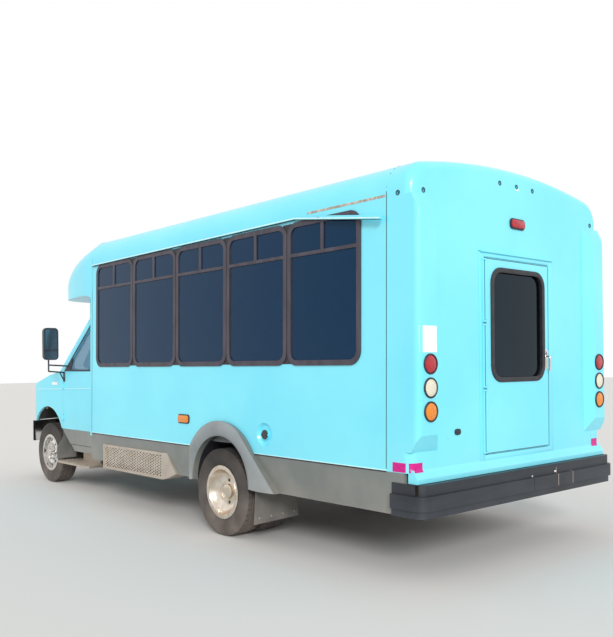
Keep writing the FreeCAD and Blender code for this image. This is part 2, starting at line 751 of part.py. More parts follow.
def revolve_about_y(points, x, y, z):
    """Turns an outline of (across, radius) points about a wheel's axis."""
    wire = Part.makePolygon([V(0, a, r) for a, r in points + points[:1]])
    solid = Part.Face(wire).revolve(V(0, 0, 0), V(0, 1, 0), 360)
    solid.translate(V(x, y, z))
    return solid


def make_tyre(x, y):
    half = tyre_width / 2
    bead = 85.0
    top = wheel_radius

    def arc(a, b, c):
        return Part.Arc(V(0, *a), V(0, *b), V(0, *c)).toShape()

    right = [arc((bead, rim_radius + 23), (half, rim_radius + 86), (half - 12, top - 22)),
             arc((half - 12, top - 22), (half - 18, top - 7), (half - 32, top))]
    left = [arc((-half + 32, top), (-half + 18, top - 7), (-half + 12, top - 22)),
            arc((-half + 12, top - 22), (-half, rim_radius + 86), (-bead, rim_radius + 23))]
    loop = [Part.makeLine(V(0, bead, rim_radius), V(0, bead, rim_radius + 23))] + right
    loop += [Part.makeLine(V(0, half - 32, top), V(0, -half + 32, top))] + left
    loop += [Part.makeLine(V(0, -bead, rim_radius + 23), V(0, -bead, rim_radius)),
             Part.makeLine(V(0, -bead, rim_radius), V(0, bead, rim_radius))]
    tyre = Part.Face(Part.Wire(loop)).revolve(V(0, 0, 0), V(0, 1, 0), 360)
    tyre.translate(V(x, y, wheel_radius))
    return tyre


def rim_profile(disc):
    """Rim barrel with both flanges, joined at one inner edge by a disc outline."""
    lip = 97.0
    seat = 85.0
    inner = rim_radius - 12
    outer = [(-lip, inner), (-lip, 224.0), (-seat, 224.0), (-seat, rim_radius), (seat, rim_radius),
             (seat, 224.0), (lip, 224.0), (lip, inner)]
    return outer + disc


def make_front_rim():
    """The left front wheel: its disc stands out to the lip."""
    inner = rim_radius - 12
    hub = 62.0
    bore = spindle_radius + running_gap
    disc = [(60, inner), (84, 130), (72, 95), (66, hub), (66, bore), (-6, bore), (-6, hub), (40, hub),
            (50, 95), (62, 125), (40, inner)]
    rim = revolve_about_y(rim_profile(disc), wheelbase, front_track_half, wheel_radius)
    cap = rod((wheelbase, front_track_half + 66, wheel_radius),
              (wheelbase, front_track_half + 118, wheel_radius), 50)
    holes = []
    for k in range(8):
        turn = math.radians(45 * k)
        cx = wheelbase + 152 * math.cos(turn)
        cz = wheel_radius + 152 * math.sin(turn)
        holes.append(rod((cx, front_track_half, cz), (cx, front_track_half + 140, cz), 17))
    return fuse_all([cut_all(rim, holes), cap])


def make_rear_rims():
    """The left twin wheels: both discs meet between the tyres, on one hub."""
    inner = rim_radius - 12
    bore = rear_spindle + running_gap
    offset = twin_spacing / 2
    shapes = []
    for side in (1, -1):
        disc = [(side * a, r) for a, r in ((-50, inner), (-offset + 12, 160), (-offset + 12, bore),
                                           (-offset, bore), (-offset, 168), (-70, inner))]
        if side > 0:
            points = rim_profile(disc)
        else:
            points = [(-a, r) for a, r in rim_profile([(-a, r) for a, r in disc])]
        shapes.append(revolve_about_y(points, 0, twin_mid_y + side * offset, wheel_radius))
    hub = rod((0, twin_mid_y - 30, wheel_radius), (0, twin_mid_y + 105, wheel_radius), 68)
    hub = hub.cut(rod((0, twin_mid_y - 31, wheel_radius), (0, twin_mid_y + 66, wheel_radius), bore))
    rims = fuse_all(shapes + [hub])
    holes = []
    for k in range(8):
        turn = math.radians(45 * k + 22.5)
        cx = 128 * math.cos(turn)
        cz = wheel_radius + 128 * math.sin(turn)
        holes.append(rod((cx, twin_mid_y - 40, cz), (cx, twin_mid_y + 40, cz), 22))
    return cut_all(rims, holes)


nose_bottom_z = 745.0
nose_round_x = wheelbase + 317.0
nose_face_x = cab_nose_x - 103.0
nose_profile = (
    # x, z of the cab's side outline ahead of the doors
    (door_front_x + door_gap, door_bottom_z - 80.0),
    (door_front_x + door_gap, belt_z + 6),
    (door_front_x + 90.0, belt_z + 2),
    (wheelbase - 53.0, 1325.0),
    (nose_round_x, 1232.0),
    (cab_nose_x - 143.0, 1160.0),
    (cab_nose_x - 53.0, 1095.0),
    (cab_nose_x - 13.0, 1000.0),
    (cab_nose_x, nose_bottom_z),
    (wheelbase, nose_bottom_z),
    (wheelbase, door_bottom_z - 80.0),
)


def nose_plan(inset, z0, z1):
    """The cab's plan outline with rounded front corners."""
    half = cab_half - inset
    nose = cab_nose_x - inset
    x0 = door_front_x + door_gap - (0 if inset == 0 else 60)
    left = [V(x0, half, z0), V(nose_round_x, half, z0)]
    corner_mid = V(nose_round_x + 0.62 * (nose - nose_round_x), half - 95, z0)
    corner_end = V(nose, half - 420, z0)
    edges = [Part.makeLine(left[0], left[1]), Part.Arc(left[1], corner_mid, corner_end).toShape(),
             Part.makeLine(corner_end, flip(corner_end)),
             Part.Arc(flip(corner_end), flip(corner_mid), flip(left[1])).toShape(),
             Part.makeLine(flip(left[1]), flip(left[0])), Part.makeLine(flip(left[0]), left[0])]
    return Part.Face(Part.Wire(edges)).extrude(V(0, 0, z1 - z0))


def nose_shell():
    outer = prism_xz(list(nose_profile), -cab_half, cab_half).common(nose_plan(0, 400, 1500))
    inset_profile = []
    middle_z = 800.0
    for x, z in nose_profile:
        inset_profile.append((x - cab_skin if x > nose_face_x else x,
                              z - cab_skin if z > middle_z else z - 200))
    inset_profile[0] = (door_front_x - 60, 240.0)
    inset_profile[1] = (door_front_x - 60, belt_z - cab_skin)
    inner = prism_xz(inset_profile, -cab_half, cab_half).common(nose_plan(cab_skin, 200, 1500))
    return outer, inner


hood_lip_z = 1085.0


def hood_region(gap):
    half = hood_half + gap
    return box(hood_rear_x - gap, cab_nose_x - 55.0 + gap, -half, half, hood_lip_z - gap, belt_z + 100)


hood_hinge_radius = 6.0
hood_hinge_pin = 3.5
hood_hinge_x = hood_rear_x - door_gap / 2
hood_hinge_z = 1375.0
hood_hinge_y = 600.0
hood_hinge_half = 60.0


def make_hood():
    """The hood panel with two hinge barrels at its rear edge."""
    outer, inner = nose_shell()
    hood = outer.cut(inner).common(hood_region(0))
    for side in (1, -1):
        y = side * hood_hinge_y
        reach = hood_hinge_half - 18
        barrel = rod((hood_hinge_x, y - reach, hood_hinge_z), (hood_hinge_x, y + reach, hood_hinge_z),
                     hood_hinge_radius)
        leaf = box(hood_hinge_x, hood_hinge_x + 36, y - reach, y + reach, hood_hinge_z - 24,
                   hood_hinge_z + 2)
        leaf = leaf.cut(box(hood_hinge_x - 1, hood_rear_x, y - reach, y + reach, 1300, hood_hinge_z - 5))
        bore = rod((hood_hinge_x, y - reach - 1, hood_hinge_z), (hood_hinge_x, y + reach + 1, hood_hinge_z),
                   hood_hinge_pin + running_gap)
        hood = hood.fuse([barrel, leaf]).cut(bore)
    return hood.removeSplitter()


def hood_hinge_lugs():
    lugs = []
    for side in (1, -1):
        y = side * hood_hinge_y
        shapes = [rod((hood_hinge_x, y - hood_hinge_half, hood_hinge_z),
                      (hood_hinge_x, y + hood_hinge_half, hood_hinge_z), hood_hinge_pin)]
        for y0 in (y - hood_hinge_half, y + hood_hinge_half - 12):
            shapes.append(rod((hood_hinge_x, y0, hood_hinge_z), (hood_hinge_x, y0 + 12, hood_hinge_z),
                              hood_hinge_radius))
            shapes.append(box(hood_hinge_x - 26, hood_hinge_x, y0, y0 + 12, hood_hinge_z - 16,
                              hood_hinge_z + 2))
        lugs.append(fuse_all(shapes))
    return lugs


grille_half = 430.0
grille_bottom_z = 790.0
grille_top_z = 1040.0
headlamp_inner_y = 470.0
headlamp_outer_y = 760.0
headlamp_bottom_z = 880.0
headlamp_top_z = 1040.0
headlamp_rear_x = cab_nose_x - 128.0
headlamp_depth = 70.0
header_inset = 8.0
firewall_x = door_front_x + 42.0
door_inner_y = cab_half - door_depth - door_gap


def make_cab_shell():
    """Fenders, cowl, firewall, sills, posts and header of the cab."""
    outer, inner = nose_shell()
    clip = outer.cut(inner).cut(hood_region(door_gap))
    clip = clip.cut(box(nose_face_x, cab_nose_x + 60, -grille_half, grille_half, grille_bottom_z,
                        grille_top_z))
    for side in (1, -1):
        y0, y1 = sorted((side * headlamp_inner_y, side * headlamp_outer_y))
        clip = clip.cut(box(headlamp_rear_x - 15, cab_nose_x + 60, y0, y1, headlamp_bottom_z,
                            headlamp_top_z))
    shapes = [clip]
    shapes.append(box(firewall_x, firewall_x + 30, -cab_half + cab_skin, cab_half - cab_skin, frame_top_z,
                      belt_z - 44))
    shapes.append(box(body_front_x + wall, firewall_x + 30, -door_inner_y, door_inner_y, frame_top_z,
                      cab_floor_z))
    for side in (1, -1):
        parts = cab_side_posts()
        shapes += parts if side == 1 else [mirror_y(p) for p in parts]
    header_half = cab_header_half - header_inset
    header = box(cap_header_x - 70, cap_header_x, -header_half, header_half,
                 cab_header_z - header_inset, cap_lip_z)
    shapes.append(header)
    shell = fuse_all(shapes)
    for side in (1, -1):
        y0, y1 = sorted((side * 620, side * (cab_half + 50)))
        shell = shell.cut(arch_tool(wheelbase, front_arch_z, front_arch_radius, y0, y1))
        shell = shell.cut(sill_cut_tool(0) if side == 1 else mirror_y(sill_cut_tool(0)))
    return shell.cut(windshield_solid())


def a_pillar_outline():
    """Front and rear lines of the pillar on the unleaned cab side, as (x, z) points."""
    top_z = belt_z + (cab_header_z - belt_z) / math.cos(math.radians(cab_lean_deg))
    rear = door_front_x + 1.4 * door_gap
    return [(rear, belt_z - 20), (rear + pillar_width, belt_z - 20), (rear + pillar_width, belt_z),
            (rear + pillar_width - pillar_rake, top_z), (rear - pillar_rake, top_z),
            (rear, belt_z)], top_z


def sill_cut_x(z):
    return sill_cut_top_x - (sill_cut_top_z - z) * sill_cut_run / sill_cut_rise


def sill_cut_z(x):
    return sill_cut_top_z - (sill_cut_top_x - x) * sill_cut_rise / sill_cut_run


def sill_cut_tool(shift):
    """What is cut off the left side below the slanted line behind the front wheel."""
    low_z = door_bottom_z - 90
    high_z = sill_cut_top_z + 15
    points = [(sill_cut_x(low_z) - shift, low_z), (sill_cut_x(high_z) - shift, high_z),
              (wheelbase, high_z), (wheelbase, low_z)]
    return prism_xz(points, cab_half - 130, cab_half + 50)


def cab_side_posts():
    """Left sill, rear post, header and A pillar."""
    outline, top_z = a_pillar_outline()
    pillar = cab_leaned(prism_xz(outline, cab_half - 60, cab_half))
    pillar = pillar.cut(box(door_rear_x, door_front_x + door_gap, 0, half_width, door_bottom_z,
                            belt_z + door_gap))
    low_pillar = box(door_front_x + door_gap, door_front_x + 90, cab_half - 75, cab_half - 2,
                     door_bottom_z - 80, belt_z - 10)
    sill = box(body_front_x + wall, door_front_x + 90, cab_half - 120, cab_half - 6, door_bottom_z - 80,
               door_bottom_z - door_gap)
    post = box(body_front_x + wall, door_rear_x - door_gap, cab_half - 100, cab_half, door_bottom_z - 80,
               belt_z)
    upper_post = cab_leaned(box(body_front_x + wall, door_rear_x - door_gap, cab_half - 60, cab_half,
                                belt_z - 10, top_z + 60))
    rail = cab_leaned(box(body_front_x + wall, door_front_x - pillar_rake + pillar_width, cab_half - 60,
                          cab_half, top_z + door_gap - 1, top_z + 60))
    rocker = box(body_front_x + wall, door_front_x, cab_half - 127, door_inner_y, door_bottom_z - 80,
                 cab_floor_z)
    upper = box(body_front_x + wall, cap_header_x, cab_header_half - 75, cab_header_half - 15,
                cab_header_z + 40, cap_lip_z)
    return [pillar, low_pillar, sill, rocker, post, upper_post, rail, upper]


def windshield_solid():
    """A raked pane between the A pillars, from the cowl to the header."""
    rise = cab_header_z - belt_z
    half_low = cab_half - 75
    half_high = cab_header_half - 75
    x_low = door_front_x + door_gap + pillar_width
    corners = [V(x_low, half_low, belt_z), V(x_low - pillar_rake, half_high, belt_z + rise),
               V(x_low - pillar_rake, -half_high, belt_z + rise), V(x_low, -half_low, belt_z)]
    face = Part.Face(Part.makePolygon(corners + corners[:1]))
    normal = V(rise, 0, pillar_rake).normalize()
    pane = face.extrude(normal * -glass_thickness)
    pane.translate(normal * -12)
    return pane


cab_hinge_x = door_front_x + door_gap / 2
cab_hinge_y = cab_half + 7.0
cab_hinge_zs = (830.0, 1200.0)
cab_hinge_radius = 7.0
cab_hinge_pin = 4.0
cab_hinge_half = 42.0


def cab_door_upper(inset, low_inset, y0, y1):
    """Window frame outline of the left door, on the unleaned cab side."""
    top_z = belt_z + (cab_header_z - belt_z) / math.cos(math.radians(cab_lean_deg))
    slope = pillar_rake / (top_z - belt_z)
    low = belt_z + low_inset
    high = top_z - inset - 4
    front_low = door_front_x - inset * 1.4 - slope * (low - belt_z)
    front_high = door_front_x - inset * 1.4 - slope * (high - belt_z)
    rear = door_rear_x + inset
    return prism_xz([(rear, low), (front_low, low), (front_high, high), (rear, high)], y0, y1)


def make_cab_door():
    """The left cab door with its window frame and hinge barrels."""
    lower = box(door_rear_x, door_front_x, cab_half - door_depth, cab_half, door_bottom_z, belt_z)
    upper = cab_leaned(cab_door_upper(0, 0, cab_half - 40, cab_half))
    opening = cab_leaned(cab_door_upper(door_frame, door_sill_frame, cab_half - 90, cab_half + 50))
    door = lower.fuse(upper).cut(opening)
    hollow = box(door_rear_x + 60, door_front_x - 60, cab_half - door_depth + 20, cab_half - 20,
                 door_bottom_z + 60, belt_z - 60)
    door = door.cut(sill_cut_tool(0)).cut(hollow.cut(sill_cut_tool(40)))
    door = door.cut(cab_glass())
    for z in cab_hinge_zs:
        barrel, bore = hinge_barrel(cab_hinge_x, cab_hinge_y, z, cab_hinge_half, cab_hinge_radius,
                                    cab_hinge_pin)
        inner = cab_hinge_half - 18
        leaf = box(cab_hinge_x - 40, cab_hinge_x, cab_half, cab_hinge_y + 3, z - inner, z + inner)
        door = door.fuse([barrel, leaf]).cut(bore)
    return door.removeSplitter()


def cab_glass():
    pane = cab_door_upper(door_frame - pane_grip, door_sill_frame - pane_grip, cab_half - 24,
                          cab_half - 24 + glass_thickness)
    return cab_leaned(pane)


def cab_hinge_lugs():
    lugs = []
    for z in cab_hinge_zs:
        lug = hinge_lug(cab_hinge_x, cab_hinge_y, z, cab_hinge_half, cab_hinge_radius, cab_hinge_pin,
                        (1, 0))
        foot = box(cab_hinge_x + 12, cab_hinge_x + 34, cab_half - 5, cab_hinge_y, z - cab_hinge_half,
                   z + cab_hinge_half)
        lugs.append(lug.fuse(foot))
    return lugs


mirror_x = door_front_x - 130.0
mirror_inner_y = half_width - 95.0
mirror_outer_y = half_width + 81.0
mirror_bottom_z = 1511.0
mirror_top_z = 1887.0
mirror_post_x = mirror_x + 46.0
mirror_post_y = half_width + 5.0
mirror_arm_radius = 9.0
mirror_foot_x = door_front_x - 28.0


def make_mirror():
    """Left mirror: a tall head on an outer post, held by two arms and a strut from the door."""
    head = box(mirror_x - 8, mirror_x + 62, mirror_inner_y, mirror_outer_y, mirror_bottom_z,
               mirror_top_z)
    edges = [e for e in head.Edges if abs(e.tangentAt(e.FirstParameter).x) > 0.9]
    head = head.makeFillet(45, edges)
    edges = [e for e in head.Edges if e.BoundBox.XMin > mirror_x + 60]
    head = head.makeFillet(26, edges)
    low_z = belt_z - 12
    high_z = belt_z + 66
    foot_y = cab_half + seat_gap
    lean_back = (high_z - mirror_arm_radius - belt_z) * math.tan(math.radians(cab_lean_deg))
    low_foot = V(mirror_foot_x, foot_y, low_z)
    low_end = V(mirror_post_x, mirror_post_y, low_z + 16)
    elbow = low_foot + (low_end - low_foot) * 0.3
    ends = ((low_foot, low_end, mirror_arm_radius),
            (V(mirror_foot_x - 44, foot_y - lean_back + 1, high_z),
             V(mirror_post_x, mirror_post_y, high_z + 12), mirror_arm_radius),
            (low_end, V(mirror_post_x, mirror_post_y, mirror_bottom_z + 40), mirror_arm_radius),
            (V(mirror_foot_x, foot_y + 3, belt_z - 110), elbow, 7.0))
    shapes = [head] + [Part.makeCylinder(radius, (end - start).Length, start, end - start)
                       for start, end, radius in ends]
    shapes.append(box(mirror_foot_x - 22, mirror_foot_x + 20, foot_y, foot_y + 6, belt_z - 124, belt_z - 2))
    skin = box(mirror_foot_x - 60, mirror_foot_x + 60, cab_half - 40, foot_y, belt_z - 140, belt_z)
    return fuse_all(shapes).cut(skin)


def leaf_window(x0, x1, inset, y0, y1):
    return rounded_plate(x0 + inset, x1 - inset, y0, y1, entry_bottom_z + 120 + inset,
                         entry_top_z - 90 - inset, 45.0)


leaf_width = (entry_width - 3 * door_gap) / 2
leaf_hinge_y = half_width + entry_hinge_radius


def make_entry_leaf(front):
    """One leaf of the entrance, drawn on the left and mirrored to the right side."""
    if front:
        x1 = entry_front_x - door_gap
        x0 = x1 - leaf_width
        hinge_x = entry_front_x - door_gap / 2
    else:
        x0 = entry_front_x - entry_width + door_gap
        x1 = x0 + leaf_width
        hinge_x = entry_front_x - entry_width + door_gap / 2
    leaf = box(x0, x1, half_width - leaf_thickness, half_width, entry_bottom_z, entry_top_z - door_gap)
    leaf = leaf.cut(leaf_window(x0, x1, 45.0, half_width - 100, half_width + 50))
    inner = hinge_half - 18
    for z in entry_hinge_zs:
        barrel, bore = hinge_barrel(hinge_x, leaf_hinge_y, z, hinge_half, entry_hinge_radius,
                                    entry_hinge_pin)
        y1 = leaf_hinge_y + 3
        plate_x = (hinge_x - 40, hinge_x) if front else (hinge_x, hinge_x + 40)
        leaf = leaf.fuse([barrel, box(plate_x[0], plate_x[1], half_width, y1, z - inner, z + inner)])
        leaf = leaf.cut(bore)
    return mirror_y(leaned(leaf.removeSplitter()))


entry_hinge_zs = (900.0, 1500.0, 2200.0)


def entry_hinge_lugs():
    lugs = []
    for hinge_x, away in ((entry_front_x - door_gap / 2, 1),
                          (entry_front_x - entry_width + door_gap / 2, -1)):
        for z in entry_hinge_zs:
            lug = hinge_lug(hinge_x, leaf_hinge_y, z, hinge_half, entry_hinge_radius, entry_hinge_pin,
                            (away, 0))
            x0, x1 = sorted((hinge_x + away * 14, hinge_x + away * 34))
            foot = box(x0, x1, half_width, leaf_hinge_y, z - hinge_half, z + hinge_half)
            lugs.append(mirror_y(leaned(lug.fuse(foot))))
    return lugs


def bumper_plan(inset, z0, z1):
    """Plan of the rear bumper: a bar that wraps round both corners."""
    half = bumper_half - inset
    rear = -rear_overhang + inset
    front = rear_seam_x - 45
    corner = 90.0 - inset * 0.4
    a = V(front, half, z0)
    b = V(rear + corner, half, z0)
    c = V(rear, half - corner, z0)
    s = corner * (1 - math.sqrt(0.5))
    mid = V(rear + s, half - s, z0)
    edges = [Part.makeLine(a, b), Part.Arc(b, mid, c).toShape(), Part.makeLine(c, flip(c)),
             Part.Arc(flip(c), flip(mid), flip(b)).toShape(), Part.makeLine(flip(b), flip(a)),
             Part.makeLine(flip(a), a)]
    return Part.Face(Part.Wire(edges)).extrude(V(0, 0, z1 - z0))


def make_rear_bumper():
    """Three steps in height: a set-back foot, the main band and a sloped ledge."""
    upper = bumper_plan(20, bumper_top_z - 72, bumper_top_z)
    middle = bumper_plan(0, bumper_bottom_z + 50, bumper_top_z - 72)
    lower = bumper_plan(14, bumper_bottom_z, bumper_bottom_z + 50)
    bar = fuse_all([upper, middle, lower])
    inner_half = half_width - 3
    inner = box(-rear_overhang + 62, rear_seam_x + 100, -inner_half, inner_half, 0, bumper_top_z + 10)
    bar = bar.cut(inner)
    brackets = [box(-rear_overhang + 62, rear_seam_x, y - 30, y + 30, bumper_bottom_z + 60,
                    bumper_bottom_z + 140) for y in (frame_inner_y + 35, -frame_inner_y - 35)]
    brackets = [b.cut(box(rear_seam_x, rear_seam_x + 100, -600, 600, 0, 800)) for b in brackets]
    return fuse_all([bar] + brackets)


front_bumper_half = 990.0
front_bumper_straight = 620.0
front_bumper_bottom_z = 480.0
front_bumper_height = 260.0
front_bumper_return = 190.0


def make_front_bumper():
    """A pressed bar with rounded ends across the nose."""
    front_x = wheelbase + front_overhang
    back_x = cab_nose_x - front_bumper_return
    deep = front_x - back_x
    wide = front_bumper_half - front_bumper_straight
    radius = (deep ** 2 + wide ** 2) / (2 * deep)
    half_turn = math.atan2(wide, radius - deep) / 2
    z = front_bumper_bottom_z
    end = V(back_x, front_bumper_half, z)
    middle = V(front_x - radius + radius * math.cos(half_turn),
               front_bumper_straight + radius * math.sin(half_turn), z)
    straight_end = V(front_x, front_bumper_straight, z)
    inner_end = V(back_x, front_bumper_half - wall, z)
    inner_corner = V(cab_nose_x + 6, front_bumper_straight - 60, z)
    edges = [Part.Arc(end, middle, straight_end).toShape(),
             Part.makeLine(straight_end, flip(straight_end)),
             Part.Arc(flip(straight_end), flip(middle), flip(end)).toShape(),
             Part.makeLine(flip(end), flip(inner_end)),
             Part.makeLine(flip(inner_end), flip(inner_corner)),
             Part.makeLine(flip(inner_corner), inner_corner),
             Part.makeLine(inner_corner, inner_end),
             Part.makeLine(inner_end, end)]
    bar = Part.Face(Part.Wire(edges)).extrude(V(0, 0, front_bumper_height))
    arms = [box(wheelbase + 560, cab_nose_x + 10, y - 25, y + 25, 560, 660)
            for y in (frame_inner_y + 35, -frame_inner_y - 35)]
    return fuse_all([bar] + arms)


def make_grille():
    """A surround with level bars."""
    half = grille_half - seat_gap
    z0 = grille_bottom_z + seat_gap
    z1 = grille_top_z - seat_gap
    ring = box(cab_nose_x - 60, cab_nose_x - 18, -half, half, z0, z1)
    bars = 5
    slot = (z1 - z0 - 30 - (bars - 1) * 12) / bars
    for k in range(bars):
        low = z0 + 15 + k * (slot + 12)
        for side in (1, -1):
            y0, y1 = sorted((side * 12, side * (half - 18)))
            ring = ring.cut(box(cab_nose_x - 50, cab_nose_x, y0, y1, low, low + slot))
    return ring


lamp_radius = 66.0
lamp_depth = 14.0
lamp_y = half_width - 129.0
lamp_zs = (1431.0, 1276.0, 1121.0)
high_lamp_half = 95.0
high_lamp_depth = 22.0
high_lamp_z = 2425.0
high_lamp_height = 75.0
marker_x = 583.0
marker_half = 90.0
marker_z = 915.0
marker_height = 80.0
marker_proud = 18.0


def make_lamps():
    """Round rear lamps, the high lamp, side markers and the front lamps."""
    shapes = []
    face_x = rear_face_x - pillar_proud
    for side in (1, -1):
        for z in lamp_zs:
            shapes.append(rod((face_x, side * lamp_y, z), (face_x - lamp_depth, side * lamp_y, z),
                              lamp_radius))
        y0, y1 = sorted((side * (headlamp_inner_y + seat_gap), side * (headlamp_outer_y - seat_gap)))
        shapes.append(box(headlamp_rear_x, headlamp_rear_x + headlamp_depth, y0, y1,
                          headlamp_bottom_z + seat_gap, headlamp_top_z - seat_gap))
        marker = box(marker_x - marker_half, marker_x + marker_half, half_width,
                     half_width + marker_proud, marker_z, marker_z + marker_height)
        marker = leaned(marker)
        shapes.append(marker if side == 1 else mirror_y(marker))
    shapes.append(box(rear_face_x - high_lamp_depth, rear_face_x, -high_lamp_half, high_lamp_half,
                      high_lamp_z, high_lamp_z + high_lamp_height))
    return Part.makeCompound(shapes)


gutter_width = 26.0
gutter_height = 30.0
gutter_lip = 13.0
gutter_sheet = 3.0
gutter_gap_x = -955.0
gutter_gap_z = shoulder_z - 61.0
gutter_fall = 0.006
loose_drop = 131.0
loose_swing = 38.0
drip_rail_half = 469.0


def gutter_section(x, y, z):
    """A drip rail's cross section: a flange on the wall, a floor and an upturned lip."""
    points = [(0, 0), (gutter_width, 0), (gutter_width, gutter_lip),
              (gutter_width - gutter_sheet, gutter_lip), (gutter_width - gutter_sheet, gutter_sheet),
              (gutter_sheet, gutter_sheet), (gutter_sheet, gutter_height), (0, gutter_height), (0, 0)]
    return Part.Face(Part.makePolygon([V(x, y + across, z + up) for across, up in points]))


def make_gutters():
    """Drip rails: the right one is whole, the rear of the left one has come off and hangs."""
    start_y = shoulder_half - 2.0
    front_x = body_front_x - 20
    rear_x = rear_seam_x + 10
    front_run = front_x - gutter_gap_x
    rear_run = gutter_gap_x - rear_x
    section = gutter_section(gutter_gap_x, start_y, gutter_gap_z)
    left = section.extrude(V(front_run, 0, -gutter_fall * front_run))
    left = left.fuse(section.extrude(V(-rear_run, loose_swing, -loose_drop)))
    right = section.extrude(V(front_run, 0, -gutter_fall * front_run))
    right = right.fuse(section.extrude(V(-rear_run, 0, gutter_fall * rear_run)))
    cutter = body_bar(0, rear_seam_x, body_front_x)
    shapes = []
    for side, rail in (("left", left), ("right", right)):
        rail = rail.cut(cutter)
        for x in windows_on(side):
            rail = rail.cut(leaned(window_blank(x, -1.0, half_width, half_width + frame_proud + 1.0)))
        shapes.append(rail if side == "left" else mirror_y(rail))
    shapes.append(box(rear_face_x - 18, rear_face_x, -drip_rail_half, drip_rail_half,
                      rear_door_top_z + 38, rear_door_top_z + 50))
    return Part.makeCompound(shapes)


step_z = 315.0
battery_box_rear_x = flare_radius + 410.0
box_plate_run = 224.0


def make_step_and_box():
    """The driver's step under the door and the battery box with its mesh front."""
    sill_z = door_bottom_z - 80
    step = box(door_rear_x + 132, door_front_x + 2, 720, cab_half + 78, step_z - 25, step_z)
    riser = box(door_rear_x + 224, sill_cut_x(sill_z) - 20, cab_half - 120, cab_half - 108, step_z,
                sill_z - seat_gap)
    box_x1 = body_front_x - 261.0
    box_x0 = battery_box_rear_x
    inner_y = half_width - skirt_tuck - skirt_thickness - 130
    outline = [(half_width + 2, 622), (half_width + 6, 372), (inner_y, 372), (inner_y, 622)]
    plate_x = box_x0 - box_plate_run
    battery = prism_yz(outline, plate_x, box_x1).common(
        prism_xz([(box_x1, 372), (box_x1, 622), (box_x0 - 70, 622), (plate_x, 445), (plate_x + 100, 405),
                  (box_x0, 372)], inner_y, half_width + 6))
    battery = battery.cut(box(box_x0 + 30, box_x1 - 30, half_width - 30, half_width + 60, 400, 596))
    skirt_space = prism_yz([(half_width + 1, rail_z), (half_width - skirt_tuck + 1, skirt_bottom_z - 1),
                            (half_width - skirt_tuck - skirt_thickness - 1, skirt_bottom_z - 1),
                            (half_width - skirt_thickness - 1, rail_z)], plate_x - 50, box_x1 + 50)
    return Part.makeCompound([step.fuse(riser), battery.cut(skirt_space)])


def make_mud_flaps():
    """Flaps behind the front and rear wheels."""
    shapes = []
    for side in (1, -1):
        top = skirt_bottom_z - seat_gap
        inner_y = half_width - skirt_tuck - skirt_thickness - 4
        rear = prism_yz([(side * 760, 170), (side * 1225, 155), (side * 1205, top), (side * inner_y, top),
                         (side * inner_y, 520), (side * 800, 520)], -448, -440)
        edge_x = wheelbase - front_arch_radius + seat_gap
        top = sill_cut_z(edge_x) - seat_gap
        front = prism_yz([(side * 842, 336), (side * 1085, 336), (side * 1085, front_arch_z - 30),
                          (side * (cab_half - 4), front_arch_z + 100), (side * (cab_half - 4), top),
                          (side * 842, top)], edge_x, edge_x + 6)
        shapes += [rear, front]
    return Part.makeCompound(shapes)


seat_pitch = 740.0
seat_rear_x = -1500.0
seat_length = 440.0
seat_inner_y = 260.0
seat_outer_y = half_width - wall - 59.0
seat_under_z = 330.0
seat_top_z = 430.0
seat_back_z = 1010.0


def make_seats():
    """Rows of double seats on both sides of the aisle, and the driver's seat."""
    shapes = []
    right_rows = int((entry_front_x - entry_width - seat_length - seat_rear_x) // seat_pitch) + 1
    rows = [(seat_rear_x + k * seat_pitch, s) for k in range(right_rows) for s in (1, -1)]
    rows.append((seat_rear_x + right_rows * seat_pitch - 10.0, 1))
    for x, side in rows:
        y0, y1 = sorted((side * seat_inner_y, side * seat_outer_y))
        cushion = box(x, x + seat_length, y0, y1, floor_z + seat_under_z, floor_z + seat_top_z)
        back = prism_xz([(x, floor_z + seat_under_z), (x - 90, floor_z + seat_back_z),
                         (x - 20, floor_z + seat_back_z), (x + 70, floor_z + seat_top_z)], y0, y1)
        legs = [box(x + 60, x + 110, y, y + 30, floor_z, floor_z + seat_under_z)
                for y in (y0 + 80, y1 - 110)]
        shapes.append(fuse_all([cushion, back] + legs))
    x = door_rear_x + 144.0
    z = cab_floor_z + 250.0
    cushion = box(x, x + 470, 260, 740, z, z + 120)
    back = prism_xz([(x, z), (x - 110, z + 690), (x - 20, z + 690), (x + 90, z + 120)], 260, 740)
    base = box(x + 70, x + 370, 340, 660, cab_floor_z, z)
    shapes.append(fuse_all([cushion, back, base]))
    return Part.makeCompound(shapes)


dash_depth = 250.0
dash_bottom_z = 1095.0
dash_top_z = belt_z - 50.0
dash_half = cab_half - door_depth - 17.0
dash_bevel = 70.0
steering_y = 500.0
steering_radius = 180.0
steering_rim = 14.0
steering_tilt = 38.0
steering_hub_x = firewall_x - dash_depth - 110.0
steering_hub_z = 1375.0


